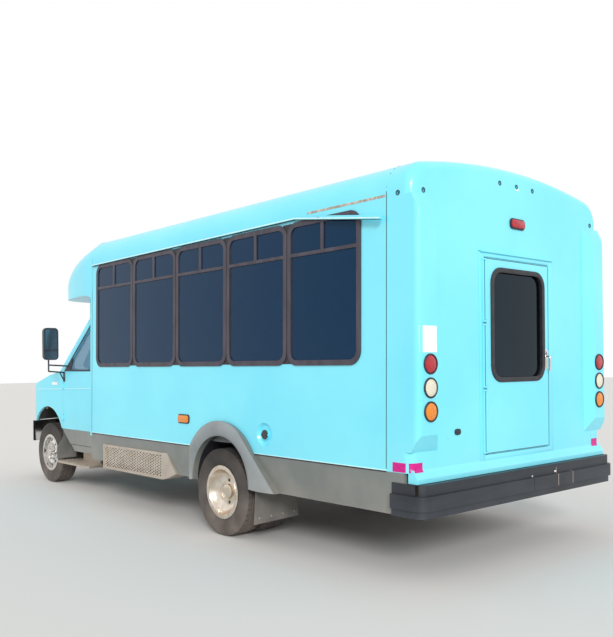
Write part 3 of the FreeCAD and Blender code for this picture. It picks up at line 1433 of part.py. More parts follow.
def make_dashboard():
    """The dash on the firewall with its binnacle, and the steering wheel on its column."""
    rear_x = firewall_x - seat_gap - dash_depth
    front_x = firewall_x - seat_gap
    dash = prism_xz([(rear_x, dash_bottom_z), (front_x, dash_bottom_z), (front_x, dash_top_z),
                     (rear_x + dash_bevel, dash_top_z), (rear_x, dash_top_z - dash_bevel)],
                    -dash_half, dash_half)
    binnacle = prism_xz([(rear_x - 10, dash_top_z - 120), (rear_x + 160, dash_top_z - 120),
                         (rear_x + 160, dash_top_z + 34), (rear_x + 40, dash_top_z + 42)],
                        steering_y - 190, steering_y + 190)
    turn = math.radians(steering_tilt)
    along = V(math.cos(turn), 0, -math.sin(turn))
    hub = V(steering_hub_x, steering_y, steering_hub_z)
    rim = Part.makeTorus(steering_radius, steering_rim, hub, along)
    centre = Part.makeCylinder(46, 40, hub - along * 6, along)
    column = Part.makeCylinder(24, 260, hub + along * 10, along)
    spokes = []
    for angle in (0.0, 180.0, 90.0):
        spoke = Part.makeBox(steering_radius, 30, 10, V(0, -15, -5))
        spoke.rotate(V(0, 0, 0), V(0, 0, 1), angle)
        spokes.append(spoke)
    spokes = fuse_all(spokes)
    spokes.rotate(V(0, 0, 0), V(0, 0, 1), 90.0)
    spokes.rotate(V(0, 0, 0), V(0, 1, 0), -(90.0 - steering_tilt))
    spokes.translate(hub)
    return fuse_all([dash, binnacle, rim, centre, column, spokes])


engine_half = 270.0
engine_height = 450.0


def make_engine():
    base_z = frame_bottom_z + 90
    return box(engine_mount_xs[0] - 60, engine_mount_xs[1] + 60, -engine_half, engine_half, base_z,
               base_z + engine_height)


def export(name, shape):
    shape = shape.copy()
    shape.translate(V(rear_axle_x, 0, 0))
    shape.exportStep("parts/" + name + ".step")


os.makedirs("parts", exist_ok=True)

export("chassis_frame", make_chassis_frame())
export("engine_block", make_engine())
export("front_axle", make_front_axle())
export("rear_axle", make_rear_axle())
export("springs", make_springs())
knuckle = make_knuckle()
export("knuckle_left", knuckle)
export("knuckle_right", mirror_y(knuckle))
front_tyre = make_tyre(wheelbase, front_track_half)
front_rim = make_front_rim()
export("tyre_front_left", front_tyre)
export("tyre_front_right", mirror_y(front_tyre))
export("rim_front_left", front_rim)
export("rim_front_right", mirror_y(front_rim))
rear_tyres = Part.makeCompound([make_tyre(0, twin_mid_y + s * twin_spacing / 2) for s in (1, -1)])
rear_rims = make_rear_rims()
export("tyres_rear_left", rear_tyres)
export("tyres_rear_right", mirror_y(rear_tyres))
export("rims_rear_left", rear_rims)
export("rims_rear_right", mirror_y(rear_rims))
cab_shell = make_cab_shell()
cab_lugs = cab_hinge_lugs()
cab_lugs = cab_lugs + [mirror_y(lug) for lug in cab_lugs] + hood_hinge_lugs()
cab_shell = cab_shell.fuse(cab_lugs).removeSplitter()
export("cab_shell", cab_shell)
export("hood", make_hood())
export("grille", make_grille())
export("front_bumper", make_front_bumper())
export("windshield", windshield_solid())
cab_door = make_cab_door()
export("cab_door_left", cab_door)
export("cab_door_right", mirror_y(cab_door))
export("cab_glass_left", cab_glass())
export("cab_glass_right", mirror_y(cab_glass()))
mirror = make_mirror()
export("mirror_left", mirror)
export("mirror_right", mirror_y(mirror))
export("floor", make_floor())
export("wall_left", make_wall("left"))
export("wall_right", fuse_all([make_wall("right")] + entry_hinge_lugs()))
export("roof", make_roof())
export("front_cap", make_front_cap())
export("rear_cap", fuse_all([make_rear_cap()] + rear_hinge_lugs()))
export("window_frames", both_sides(make_window_frame))
export("window_glass", both_sides(window_glass))
export("skirts", make_skirts())
export("rear_door", make_rear_door())
export("rear_door_glass", make_rear_glass())
export("entry_leaf_front", make_entry_leaf(True))
export("entry_leaf_rear", make_entry_leaf(False))
export("rear_bumper", make_rear_bumper())
export("lamps", make_lamps())
export("gutters", make_gutters())
export("step_and_box", make_step_and_box())
export("mud_flaps", make_mud_flaps())
export("seats", make_seats())
export("dashboard", make_dashboard())
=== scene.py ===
# %% [markdown]
# A shuttle minibus: a van cab in front, a wide fibreglass passenger body behind, twin rear wheels.
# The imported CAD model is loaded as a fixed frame. Everything made here sits on it, in metres,
# in the same axes: +X forward, +Y the driver's side, +Z up, the ground at Z = 0.

# %% Load the frame
import json
import math

import bmesh
import bpy
from mathutils import Matrix, Vector
from mathutils.bvhtree import BVHTree


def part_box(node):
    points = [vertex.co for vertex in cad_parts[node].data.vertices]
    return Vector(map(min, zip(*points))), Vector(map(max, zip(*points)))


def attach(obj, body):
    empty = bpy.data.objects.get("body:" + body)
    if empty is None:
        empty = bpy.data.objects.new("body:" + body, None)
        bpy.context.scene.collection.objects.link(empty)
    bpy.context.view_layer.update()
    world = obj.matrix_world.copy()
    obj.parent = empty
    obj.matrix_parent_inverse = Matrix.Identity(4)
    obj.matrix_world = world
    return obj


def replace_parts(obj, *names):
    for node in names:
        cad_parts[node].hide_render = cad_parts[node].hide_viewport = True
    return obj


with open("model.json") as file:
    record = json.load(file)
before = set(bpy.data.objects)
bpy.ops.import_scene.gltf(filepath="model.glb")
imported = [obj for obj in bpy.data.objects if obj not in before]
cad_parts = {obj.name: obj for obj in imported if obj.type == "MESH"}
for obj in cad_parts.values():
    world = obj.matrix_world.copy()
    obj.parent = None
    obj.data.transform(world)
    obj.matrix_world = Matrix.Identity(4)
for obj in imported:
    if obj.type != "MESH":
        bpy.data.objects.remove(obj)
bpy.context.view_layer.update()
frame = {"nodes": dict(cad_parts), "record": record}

nodes = frame["nodes"]

# %% [markdown]
# The camera stands behind the bus on the driver's side, at eye height, and looks along the left
# wall. The horizon lies below the middle of the picture, which a level camera gets by a shift.

# %% Camera
picture_height = 637
horizon_row = 366.0
focal_pixels = 781.6
camera_place = Vector((-6.6845, 5.045, 1.44))
yaw, pitch, roll = (math.radians(turn) for turn in (-41.55, -0.17, -0.54))

forward = Vector((math.cos(yaw) * math.cos(pitch), math.sin(yaw) * math.cos(pitch), math.sin(pitch)))
level_right = Vector((math.sin(yaw), -math.cos(yaw), 0.0))
level_up = level_right.cross(forward)
right = level_right * math.cos(roll) + level_up * math.sin(roll)
up = level_up * math.cos(roll) - level_right * math.sin(roll)

camera_data = bpy.data.cameras.new("camera")
camera_data.sensor_width = 36.0
camera_data.lens = camera_data.sensor_width * focal_pixels / picture_height
camera_data.shift_y = (horizon_row - picture_height / 2) / picture_height
camera_data.clip_end = 200.0
camera = bpy.data.objects.new("camera", camera_data)
camera.matrix_world = Matrix.Translation(camera_place) @ Matrix(
    (right, up, -forward)).transposed().to_4x4()
bpy.context.scene.collection.objects.link(camera)
bpy.context.scene.camera = camera
bpy.context.scene.view_settings.view_transform = "Standard"
print("lens", round(camera_data.lens, 2), "mm")

# %% [markdown]
# Colours are written as the sRGB hex values that a picture program shows. Cycles works in linear
# light, so one function turns them. Another adds a node with its links and settings, which keeps
# each material below as short as a recipe.

# %% Colour and node helpers
def linear(text):
    """A hex colour as linear red, green and blue, with alpha 1."""
    parts = [int(text[i:i + 2], 16) / 255 for i in (1, 3, 5)]
    return tuple(p / 12.92 if p <= 0.04045 else ((p + 0.055) / 1.055) ** 2.4 for p in parts) + (1.0,)


def add(tree, kind, links=None, **settings):
    """Adds a shader node: links sets or joins its inputs, settings sets its own fields."""
    made = tree.nodes.new("ShaderNode" + kind)
    for field, value in settings.items():
        setattr(made, field, value)
    for name, value in (links or {}).items():
        if isinstance(value, bpy.types.NodeSocket):
            tree.links.new(value, made.inputs[name])
        else:
            made.inputs[name].default_value = value
    return made


def begin(name, **shader):
    """A new material with its Principled shader's plain numbers set, by socket name."""
    material = bpy.data.materials.new(name)
    material.use_nodes = True
    surface = material.node_tree.nodes["Principled BSDF"]
    for socket, value in shader.items():
        surface.inputs[socket.replace("_", " ")].default_value = value
    return material, material.node_tree, surface

# %% [markdown]
# Three layers come back in most finishes of an old vehicle: a cloudy change of tone, road dust
# that lies thicker near the ground, and a bump. Each is a small function. Tones give a colour, dust
# takes one and gives one, so a recipe can stack them. The size of a pattern is in metres on the bus.

# %% Layers that the finishes share
def clouds(tree, size, detail=3.0, stretch=(1, 1, 1)):
    """Noise from 0 to 1 whose patches are about size metres across."""
    place = add(tree, "TexCoord").outputs["Object"]
    turned_place = add(tree, "Mapping", {"Vector": place, "Scale": stretch}).outputs["Vector"]
    return add(tree, "TexNoise", {"Vector": turned_place, "Scale": 1 / size,
                                  "Detail": detail}).outputs["Fac"]


def tones(tree, factor, first, second, low=0.35, high=0.65):
    """Turns a factor into a colour between two hex colours."""
    ramp = add(tree, "ValToRGB", {"Fac": factor})
    for stop, place, colour in zip(ramp.color_ramp.elements, (low, high), (first, second)):
        stop.position = place
        stop.color = linear(colour)
    return ramp.outputs["Color"]


def dusted(tree, colour, dust, top, amount, patch_size=0.25):
    """Lays dust over a colour: none above top metres, and amount of it at the ground."""
    place = add(tree, "TexCoord").outputs["Object"]
    height = add(tree, "SeparateXYZ", {"Vector": place}).outputs["Z"]
    fall = add(tree, "MapRange", {"Value": height, "From Min": top, "From Max": 0.0,
                                  "To Min": 0.0, "To Max": amount}).outputs["Result"]
    patches = add(tree, "MapRange", {"Value": clouds(tree, patch_size, 6.0), "From Min": 0.3,
                                     "From Max": 0.7, "To Min": 0.4, "To Max": 1.5}).outputs["Result"]
    share = add(tree, "Math", {0: fall, 1: patches}, operation="MULTIPLY", use_clamp=True)
    return add(tree, "Mix", {0: share.outputs[0], 6: colour, 7: linear(dust)},
               data_type="RGBA").outputs[2]

# %% Bump, and the worn finish made of all the layers
def bumped(tree, surface, height, distance):
    """Lets a factor stand up to distance metres high under the light."""
    bump = add(tree, "Bump", {"Height": height, "Distance": distance, "Strength": 1.0})
    tree.links.new(bump.outputs["Normal"], surface.inputs["Normal"])


def worn(name, first, second, patch_size, dust=None, top=1.0, amount=0.3, grain=0.012, relief=0.0003,
         stretch=(1, 1, 1), **shader):
    """A finish of two tones in patches, dust near the ground and a grain that stands relief high."""
    material, tree, surface = begin(name, **shader)
    colour = tones(tree, clouds(tree, patch_size, 4.0, stretch), first, second)
    if dust:
        colour = dusted(tree, colour, dust, top, amount)
    tree.links.new(colour, surface.inputs["Base Color"])
    bumped(tree, surface, clouds(tree, grain, 2.0, stretch), relief)
    return material

# %% [markdown]
# Enamel over fibreglass and sheet aluminium. The coat gives the sharp highlight, the enamel below
# stays fairly rough, and a brushed repaint shows a slight orange peel. Real orange peel is 2 to 4
# mm across, which no picture of a whole bus shows, so it is drawn at 25 mm.

# %% Enamel paints
road_dust = "#B5A48F"
blue_tones = ("#76E4FA", "#82ECFD")
grey_tones = ("#6C7271", "#7A807D")
sky_blue_enamel = worn("sky_blue_enamel", *blue_tones, 0.9, road_dust, 0.95, 0.16, grain=0.025,
                       Roughness=0.36, Coat_Weight=0.45, Coat_Roughness=0.09)
grey_enamel = worn("grey_enamel", *grey_tones, 0.5, road_dust, 0.8, 0.42, grain=0.02,
                   Roughness=0.42, Coat_Weight=0.5, Coat_Roughness=0.16)
# This paler grey is a painted highlight: the flare bulges wear it where their curve catches the light.
highlight_grey_enamel = worn("highlight_grey_enamel", "#7E8587", "#90979A", 0.3, road_dust, 0.7, 0.3, grain=0.02,
                      Roughness=0.4, Coat_Weight=0.5, Coat_Roughness=0.16)
white_primer = worn("white_primer", "#F3F5F6", "#FFFFFF", 0.05, relief=0.0002, Roughness=0.5)
old_glue = worn("old_glue", "#97897A", "#D6CCBE", 0.03, grain=0.01, relief=0.0006, Roughness=0.8)
# This pale enamel is a painted highlight: it colours thin strips where edges and creases catch the
# light.
painted_highlight_enamel = worn("painted_highlight_enamel", "#C6F8FC", "#DDFDFF", 0.05, relief=0.0002, Roughness=0.45)
frame_enamel = worn("frame_enamel", "#26272A", "#35322F", 0.15, "#7C6B5A", 0.7, 0.7,
                    grain=0.02, relief=0.0008, Roughness=0.6)

print("enamels", sky_blue_enamel.name, grey_enamel.name)

# %% [markdown]
# The cab is masked along a line and sprayed in both colours. Inside the engine bay and its wheel
# arches it has grey underseal instead. The bay is a box, so three Compare nodes, one for each
# axis, can tell whether a place is inside it: each takes the middle and the half length of a side.

# %% Two-colour enamel of the cab
engine_bay = (("X", 2.840, 0.540), ("Y", 0.0, 0.980), ("Z", 0.75, 0.30))
tape_height = 0.69


def split_enamel(name):
    """Blue above a masked line that wanders by a few millimetres, grey below it, underseal inside."""
    material, tree, surface = begin(name, Roughness=0.36, Coat_Weight=0.4, Coat_Roughness=0.1)
    place = add(tree, "TexCoord").outputs["Object"]
    spot = add(tree, "SeparateXYZ", {"Vector": place}).outputs
    wander = add(tree, "Math", {0: clouds(tree, 0.3), 1: 0.012, 2: spot["Z"]},
                 operation="MULTIPLY_ADD")
    share = add(tree, "MapRange", {"Value": wander.outputs[0], "From Min": tape_height + 0.004,
                                   "From Max": tape_height + 0.009}).outputs["Result"]
    blue = tones(tree, clouds(tree, 0.9, 4.0), *blue_tones)
    grey = tones(tree, clouds(tree, 0.5, 4.0), *grey_tones)
    colour = add(tree, "Mix", {0: share, 6: grey, 7: blue}, data_type="RGBA").outputs[2]
    bay = 1.0
    for axis, middle, reach in engine_bay:
        within = add(tree, "Math", {0: spot[axis], 1: middle, 2: reach}, operation="COMPARE")
        bay = add(tree, "Math", {0: within.outputs[0], 1: bay}, operation="MULTIPLY").outputs[0]
    colour = add(tree, "Mix", {0: bay, 6: colour, 7: linear("#5A5C5D")}, data_type="RGBA").outputs[2]
    tree.links.new(dusted(tree, colour, road_dust, 0.95, 0.3), surface.inputs["Base Color"])
    bumped(tree, surface, clouds(tree, 0.025, 2.0), 0.0003)
    return material


cab_enamel = split_enamel("cab_enamel")
print("underseal inside", engine_bay)

# %% [markdown]
# Moulded plastic and rubber. Bumpers of this kind are polyurethane over a steel bar: charcoal,
# chalked by the sun, with paler rubs where they have touched things. Tyre rubber has no coat and a
# high roughness, and its dust lies thicker near the ground.

# %% Plastics and rubbers
moulded_bumper = worn("moulded_bumper", "#1D2128", "#2A3038", 0.35, "#7F8288", 0.75, 0.15,
                      grain=0.006, relief=0.0004, stretch=(1, 0.5, 3), Roughness=0.5)
black_plastic = worn("black_plastic", "#2E3136", "#3E4248", 0.08, road_dust, 0.5, 0.3,
                     grain=0.004, relief=0.0002, Roughness=0.45)
tyre_rubber = worn("tyre_rubber", "#272524", "#353231", 0.12, "#9A8D84", 0.75, 0.45,
                   grain=0.006, relief=0.0005, Roughness=0.85)
flap_rubber = worn("flap_rubber", "#5F5F5D", "#706F6C", 0.15, "#9A9288", 0.6, 0.5, grain=0.015,
                   relief=0.0010, Roughness=0.75)
seal_rubber = worn("seal_rubber", "#26262A", "#34333A", 0.05, grain=0.004, relief=0.0002,
                   Roughness=0.55)
print("rubbers", tyre_rubber.name, flap_rubber.name)

# %% [markdown]
# Metals keep the shader's own IOR, and Metallic at 1 makes the base colour the colour of the
# reflection. Chrome is nearly a mirror, polished aluminium wheels have a soft blur and brown brake
# dust, bronze anodising is dark and warm, and cast iron is dull with rust.

# %% Metals
brake_dust = "#8A7360"
wheel_chrome = worn("wheel_chrome", "#DAD9D6", "#F0EFEC", 0.04, brake_dust, 0.75, 0.35, grain=0.01,
                    relief=0.0002, Metallic=1.0, Roughness=0.12)
polished_wheel = worn("polished_wheel", "#DCCBB8", "#F2E9DD", 0.06, brake_dust, 0.85, 0.2,
                      Metallic=1.0, Roughness=0.22)
bumper_chrome = worn("bumper_chrome", "#D4D4D2", "#ECECEA", 0.2, road_dust, 0.8, 0.3, grain=0.02,
                     relief=0.0001, Metallic=1.0, Roughness=0.15)
bronze_anodised = worn("bronze_anodised", "#3E3A44", "#504A55", 0.3, grain=0.01, relief=0.0001,
                       stretch=(4, 4, 1), Metallic=0.3, Roughness=0.42)
mill_aluminium = worn("mill_aluminium", "#B7ADA2", "#C9C0B4", 0.12, road_dust, 0.8, 0.6, grain=0.01,
                      Metallic=0.55, Roughness=0.42)
cast_iron = worn("cast_iron", "#3B3735", "#5C4436", 0.10, "#7C6B5A", 0.6, 0.6, relief=0.0012,
                 Metallic=0.4, Roughness=0.7)
dusty_steel = worn("dusty_steel", "#BBAA98", "#D2C2B0", 0.08, brake_dust, 0.5, 0.25, grain=0.006,
                   Metallic=0.3, Roughness=0.6)
galvanised_mesh = worn("galvanised_mesh", "#DCCCB9", "#F0E4D4", 0.08, brake_dust, 0.5, 0.2,
                       grain=0.006, Metallic=0.2, Roughness=0.55)
mirror_silver = worn("mirror_silver", "#858E96", "#8F98A0", 0.3, relief=0.0, Metallic=0.85,
                     Roughness=0.08)
print("metals", wheel_chrome.name, polished_wheel.name)

# %% [markdown]
# Inside: a speckled vinyl floor and woven seat cloth. The cloth's threads are about 1 mm, drawn
# at 8 mm so that they show through the glass, as a grid of crossed waves.

# %% Inside finishes
floor_vinyl = worn("floor_vinyl", "#4A4D50", "#6A6E72", 0.01, grain=0.01, relief=0.0001,
                   Roughness=0.5)


def woven(name, first, second, thread):
    """Cloth whose threads are thread metres apart along every axis."""
    material, tree, surface = begin(name, Roughness=0.9, Sheen_Weight=0.3)
    place = add(tree, "TexCoord").outputs["Object"]
    waves = [add(tree, "TexWave", {"Vector": place, "Scale": 0.5 / thread, "Distortion": 0.6},
                 bands_direction=axis).outputs["Fac"] for axis in "XYZ"]
    cross = add(tree, "Math", {0: waves[0], 1: waves[1]}, operation="ADD")
    weave = add(tree, "Math", {0: cross.outputs[0], 1: waves[2]}, operation="ADD")
    share = add(tree, "Math", {0: weave.outputs[0], 1: 1 / 3}, operation="MULTIPLY").outputs[0]
    tree.links.new(tones(tree, share, first, second), surface.inputs["Base Color"])
    bumped(tree, surface, share, 0.001)
    return material


seat_cloth = woven("seat_cloth", "#2F3B57", "#566482", 0.008)
print("inside", floor_vinyl.name, seat_cloth.name)

# %% [markdown]
# Tinted safety glass. It lets some light through, tinted navy, and the rest of its look is the
# reflection, whose strength the shader's own Fresnel gives. Its blue is a specular tint, a painted
# reflection of a blue sky. The cab's glass is only lightly tinted.

# %% Glass and lamp lenses
def tinted(name, colour, through, reflection=0.18):
    """Glass that lets a share of the light through; its blue specular tint is a painted sky reflection.
    """
    # The blue specular tint is a painted reflection of a blue sky.
    material, tree, surface = begin(name, Roughness=0.02, IOR=1.5, Transmission_Weight=through,
                                    Specular_IOR_Level=reflection, Specular_Tint=(0.2, 0.65, 1.0, 1.0))
    film = dusted(tree, linear(colour), "#8F9AA0", 1.9, 0.05, 0.15)
    tree.links.new(film, surface.inputs["Base Color"])
    return material


dark_glass = tinted("dark_glass", "#10345A", 0.45)
rear_glass = tinted("rear_glass", "#080B10", 0.45)
cab_glass = tinted("cab_glass", "#9CC3DA", 0.7, 0.4)


def lens(name, colour, painted_glint):
    """A moulded acrylic lens with prisms about 8 mm across; their middles are a painted glint."""
    material, tree, surface = begin(name, Roughness=0.18, Transmission_Weight=0.1,
                                    Coat_Weight=0.6, Coat_Roughness=0.05)
    place = add(tree, "TexCoord").outputs["Object"]
    prisms = add(tree, "TexVoronoi", {"Vector": place, "Scale": 1 / 0.008}).outputs["Distance"]
    tree.links.new(tones(tree, prisms, painted_glint, colour, 0.0, 0.6), surface.inputs["Base Color"])
    bumped(tree, surface, prisms, 0.0008)
    return material


# Each lens's second colour is a painted glint in the middle of its prisms.
red_lens = lens("red_lens", "#A8001C", "#F00C2C")
amber_lens = lens("amber_lens", "#EE8200", "#FFB024")
clear_lens = lens("clear_lens", "#E8E2C8", "#FFFFF4")
magenta_tape = worn("magenta_tape", "#C6007C", "#DA1090", 0.02, relief=0.0002, Roughness=0.35)
print("glass", dark_glass.name, cab_glass.name)

# %% [markdown]
# Every CAD node that stays gets its finish through its material slots. The names say what each
# one is, so one table is enough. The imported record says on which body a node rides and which
# material slot it has. A finish takes the slot of the node that wears it, and a short second table
# has the slots of the finishes that only small pieces wear.

# %% Give each CAD node its finish
finish_of = {
    sky_blue_enamel: ("wall_left", "wall_right", "roof", "rear_cap", "hood", "rear_door", "gutters"),
    cab_enamel: ("cab_shell", "front_cap", "cab_door_left", "cab_door_right"),
    grey_enamel: ("skirts",),
    frame_enamel: ("chassis_frame",),
    cast_iron: ("engine_block", "front_axle", "rear_axle", "springs", "knuckle_left", "knuckle_right"),
    tyre_rubber: ("tyre_front_left", "tyre_front_right", "tyres_rear_left", "tyres_rear_right"),
    wheel_chrome: ("rim_front_left", "rim_front_right"),
    polished_wheel: ("rims_rear_left", "rims_rear_right"),
    moulded_bumper: ("rear_bumper",),
    bumper_chrome: ("front_bumper",),
    black_plastic: ("grille", "mirror_left", "mirror_right", "dashboard"),
    cab_glass: ("windshield", "cab_glass_left", "cab_glass_right"),
    dark_glass: ("window_glass",),
    rear_glass: ("rear_door_glass",),
    floor_vinyl: ("floor",),
    bronze_anodised: ("window_frames", "entry_leaf_front", "entry_leaf_rear"),
    red_lens: ("lamps",),
    mill_aluminium: ("step_and_box",),
    flap_rubber: ("mud_flaps",),
    seat_cloth: ("seats",),
}
node_finish = {name: material for material, names in finish_of.items() for name in names}
for name, material in node_finish.items():
    nodes[name].data.materials.clear()
    nodes[name].data.materials.append(material)
print("finished nodes", len(node_finish), "left over", sorted(set(nodes) - set(node_finish)))

# %% Bodies and material slots
body_of_node = {name: body for body, names in frame["record"]["behaviour"]["bodies"].items()
                for name in names}
slot_of_node = {part["node"]: part["material_slot"] for part in frame["record"]["subparts"]}
slot_of = {material: slot_of_node[names[0]] for material, names in finish_of.items()}
for slot, materials in (("black_plastic", (seal_rubber, black_plastic)),
                        ("grey_paint", (highlight_grey_enamel,)),
                        ("sky_blue_paint", (painted_highlight_enamel, old_glue, white_primer)),
                        ("lamp_plastic", (clear_lens, amber_lens, magenta_tape)),
                        ("step_aluminium", (galvanised_mesh, dusty_steel)),
                        ("bumper_chrome", (mirror_silver,))):
    slot_of.update(dict.fromkeys(materials, slot))
print("slots", sorted(set(slot_of.values())))

# %% [markdown]
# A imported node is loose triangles, which shade flat. Where the real panel is one smooth pressing,
# a copy of the node has its doubles merged and its shallow edges shaded smooth. The copy stands in
# the node's place, with the same shape.

# %% Finishing a shape
MM = 0.001
crease = math.radians(28)


def finished(name, shape, material, body, angle=crease):
    """Makes a bmesh an object at the origin, smooth up to an angle, on its body."""
    shape.normal_update()
    for face in shape.faces:
        face.smooth = True
    for edge in shape.edges:
        edge.smooth = len(edge.link_faces) == 2 and edge.calc_face_angle(0.0) < angle
    mesh = bpy.data.meshes.new(name)
    shape.to_mesh(mesh)
    shape.free()
    mesh.materials.append(material)
    piece = bpy.data.objects.new(name, mesh)
    bpy.context.scene.collection.objects.link(piece)
    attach(piece, body)
    return piece

# %% Smooth skins for the curved nodes
def skin(name):
    """Replaces a node by its own merged and smoothed copy."""
    shape = bmesh.new()
    shape.from_mesh(nodes[name].data)
    bmesh.ops.remove_doubles(shape, verts=shape.verts, dist=0.01 * MM)
    piece = finished(name + "_skin", shape, node_finish[name], body_of_node[name])
    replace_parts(piece, name)
    return piece


skins = [skin(name) for name in (
    "roof", "front_cap", "rear_cap", "cab_shell", "hood", "skirts", "rear_bumper", "front_bumper",
    "mirror_left", "mirror_right", "springs", "rear_axle")]
print("skins", {piece.name: len(piece.data.polygons) for piece in skins})

# %% [markdown]
# Most small parts of a bus are turned shapes, plates with round corners, boxes with soft edges and
# bent strips. Each gets a short helper before its first use. It draws its part in the XY plane,
# turns it to its place and adds it to a bmesh, so that several parts can be joined in one piece.
# Places along the bus are measured from the rear axle, as a chassis drawing does.

# %% Places on the bus
sides = ((1, "left"), (-1, "right"))
axle_x = sum(corner.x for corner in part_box("tyres_rear_left")) / 2
front_axle = sum(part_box("tyre_front_left"), Vector()) / 2
rear_cap_depth = 0.213
rear_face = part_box("roof")[0].x - rear_cap_depth
half_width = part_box("wall_left")[1].y
rail_height = 0.722
wall_lean = math.atan2(0.027, 1.862)
print("rear axle x", round(axle_x, 4), "front axle x", round(front_axle.x, 4))


def at(ahead):
    """X of a place that lies ahead metres in front of the rear axle."""
    return axle_x + ahead


def outwards(side):
    """The direction that a side wall of the body faces: side is 1 for left and -1 for right."""
    return Vector((0, side * math.cos(wall_lean), math.sin(wall_lean)))


def on_wall(ahead, height, side=1, proud=0.0):
    """A place on a side wall, or proud metres outside it."""
    across = half_width + proud - (height - rail_height) * math.tan(wall_lean)
    return Vector((at(ahead), side * across, height))

# %% Making and placing a piece
def make_piece(name, shape, material, body="bus_body", angle=crease):
    """Merges doubles, turns the faces outwards and finishes the piece."""
    bmesh.ops.remove_doubles(shape, verts=shape.verts, dist=0.01 * MM)
    bmesh.ops.recalc_face_normals(shape, faces=shape.faces)
    return finished(name, shape, material, body, angle)


def joined(shape, part):
    """Adds a part to the shape and frees it."""
    mesh = bpy.data.meshes.new("part")
    part.to_mesh(mesh)
    part.free()
    shape.from_mesh(mesh)
    bpy.data.meshes.remove(mesh)


def placed(shape, part, place, normal, tall=(0, 0, 1)):
    """Adds a part drawn in XY: its +Z then looks along normal, and its Y axis along tall."""
    normal = Vector(normal).normalized()
    across = Vector(tall).cross(normal).normalized()
    turn = Matrix((across, normal.cross(across), normal)).transposed().to_4x4()
    bmesh.ops.transform(part, matrix=Matrix.Translation(place) @ turn, verts=part.verts)
    joined(shape, part)

# %% [markdown]
# Tyres are spun from half a cross section: bead, bulging sidewall, shoulder, tread. The tread has
# four grooves round the tyre, and every third step of its shoulder ribs is pushed in, which gives
# the cross lugs of a light truck tyre.

# %% Turned shapes
def turned(shape, outline, place, axis, steps=40):
    """Spins an outline of (along, radius) millimetres about an axis through place."""
    part = bmesh.new()
    verts = [part.verts.new((radius * MM, 0, along * MM)) for along, radius in outline]
    edges = [part.edges.new(pair) for pair in zip(verts, verts[1:])]
    bmesh.ops.spin(part, geom=verts + edges, cent=(0, 0, 0), axis=(0, 0, 1), angle=math.tau,
                   steps=steps, use_merge=True)
    tall = (0, 0, 1) if abs(Vector(axis).normalized().z) < 0.9 else (1, 0, 0)
    placed(shape, part, place, axis, tall)

# %% Cross section of a tyre
tyre_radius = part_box("tyre_front_left")[1].z / 2
tyre_half = 112.5 * MM
lug_depth = 7.2 * MM
tread_steps = 132
sidewall = [(84, 203), (88, 224), (98, 240), (107, 262), (111.5, 290), (110, 296), (111.5, 302),
            (108, 326), (102, 346), (97, 357)]
shoulder_from = 56 * MM
tread = ((91, 1.5), (56, 0), (54, 9), (48, 9), (46, 0), (20, 0), (18, 9), (12, 9), (10, 0))
half_outline = sidewall + [(across, tyre_radius / MM - depth) for across, depth in tread]
tyre_outline = half_outline + [(-across, radius) for across, radius in reversed(half_outline)]
print("tyre radius", round(tyre_radius, 4), "points in its section", len(tyre_outline))

# %% Tyres with their tread
def tyres(node, centres):
    """A tyre at each centre, in place of a CAD node."""
    shape = bmesh.new()
    for centre in centres:
        part = bmesh.new()
        turned(part, tyre_outline, (0, 0, 0), (0, 1, 0), tread_steps)
        lugs = []
        for face in part.faces:
            middle = face.calc_center_median()
            step = int((math.atan2(middle.z, middle.x) % math.tau) / math.tau * tread_steps)
            outer = math.hypot(middle.x, middle.z) > tyre_radius - 3 * MM
            if outer and abs(middle.y) > shoulder_from and step % 3 == 0:
                lugs.append(face)
        made = bmesh.ops.extrude_discrete_faces(part, faces=lugs)["faces"]
        shrink = (tyre_radius - lug_depth) / tyre_radius
        bmesh.ops.scale(part, vec=(shrink, 1, shrink),
                        verts=list({vert for face in made for vert in face.verts}))
        placed(shape, part, centre, (0, 0, 1), (0, 1, 0))
    piece = make_piece(node + "_tread", shape, tyre_rubber, body_of_node[node])
    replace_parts(piece, node)
    return piece


twin_low, twin_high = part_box("tyres_rear_left")
twin_mid = (twin_low + twin_high) / 2
twin_half = (twin_high.y - twin_low.y) / 2 - tyre_half
for side, end in sides:
    pair = [Vector((twin_mid.x, side * twin_mid.y + reach, twin_mid.z))
            for reach in (twin_half, -twin_half)]
    rear_pair = tyres("tyres_rear_" + end, pair)
    tyres("tyre_front_" + end, [Vector((front_axle.x, side * front_axle.y, front_axle.z))])
print("one rear pair", len(rear_pair.data.polygons), "faces")

# %% [markdown]
# Wheels: the CAD rims are merged and smoothed. The front ones get their ring of wheel nuts. The
# outer rear ones carry a polished liner: a dished sheet with a raised hub cap. Its two hand holes
# are thin black discs on the sheet, painted shade.

# %% Wheel skins, nuts and liners
for node in ("rim_front_left", "rim_front_right", "rims_rear_left", "rims_rear_right"):
    skin(node)
nut_count, nut_circle, nut_base = 8, 84 * MM, 74 * MM
nut_outline = ((0, 0), (0, 13), (18.2, 13), (26, 6.5), (26, 0))
liner_front = [(-45, 0), (-45, 44), (-47, 56), (-52, 62), (-72, 65), (-74, 72), (-74, 112),
               (-70, 134), (-60, 154), (-42, 172), (-18, 185), (-4, 191), (1, 196)]
liner_outline = liner_front + [(along - 1.5, radius) for along, radius in reversed(liner_front)]

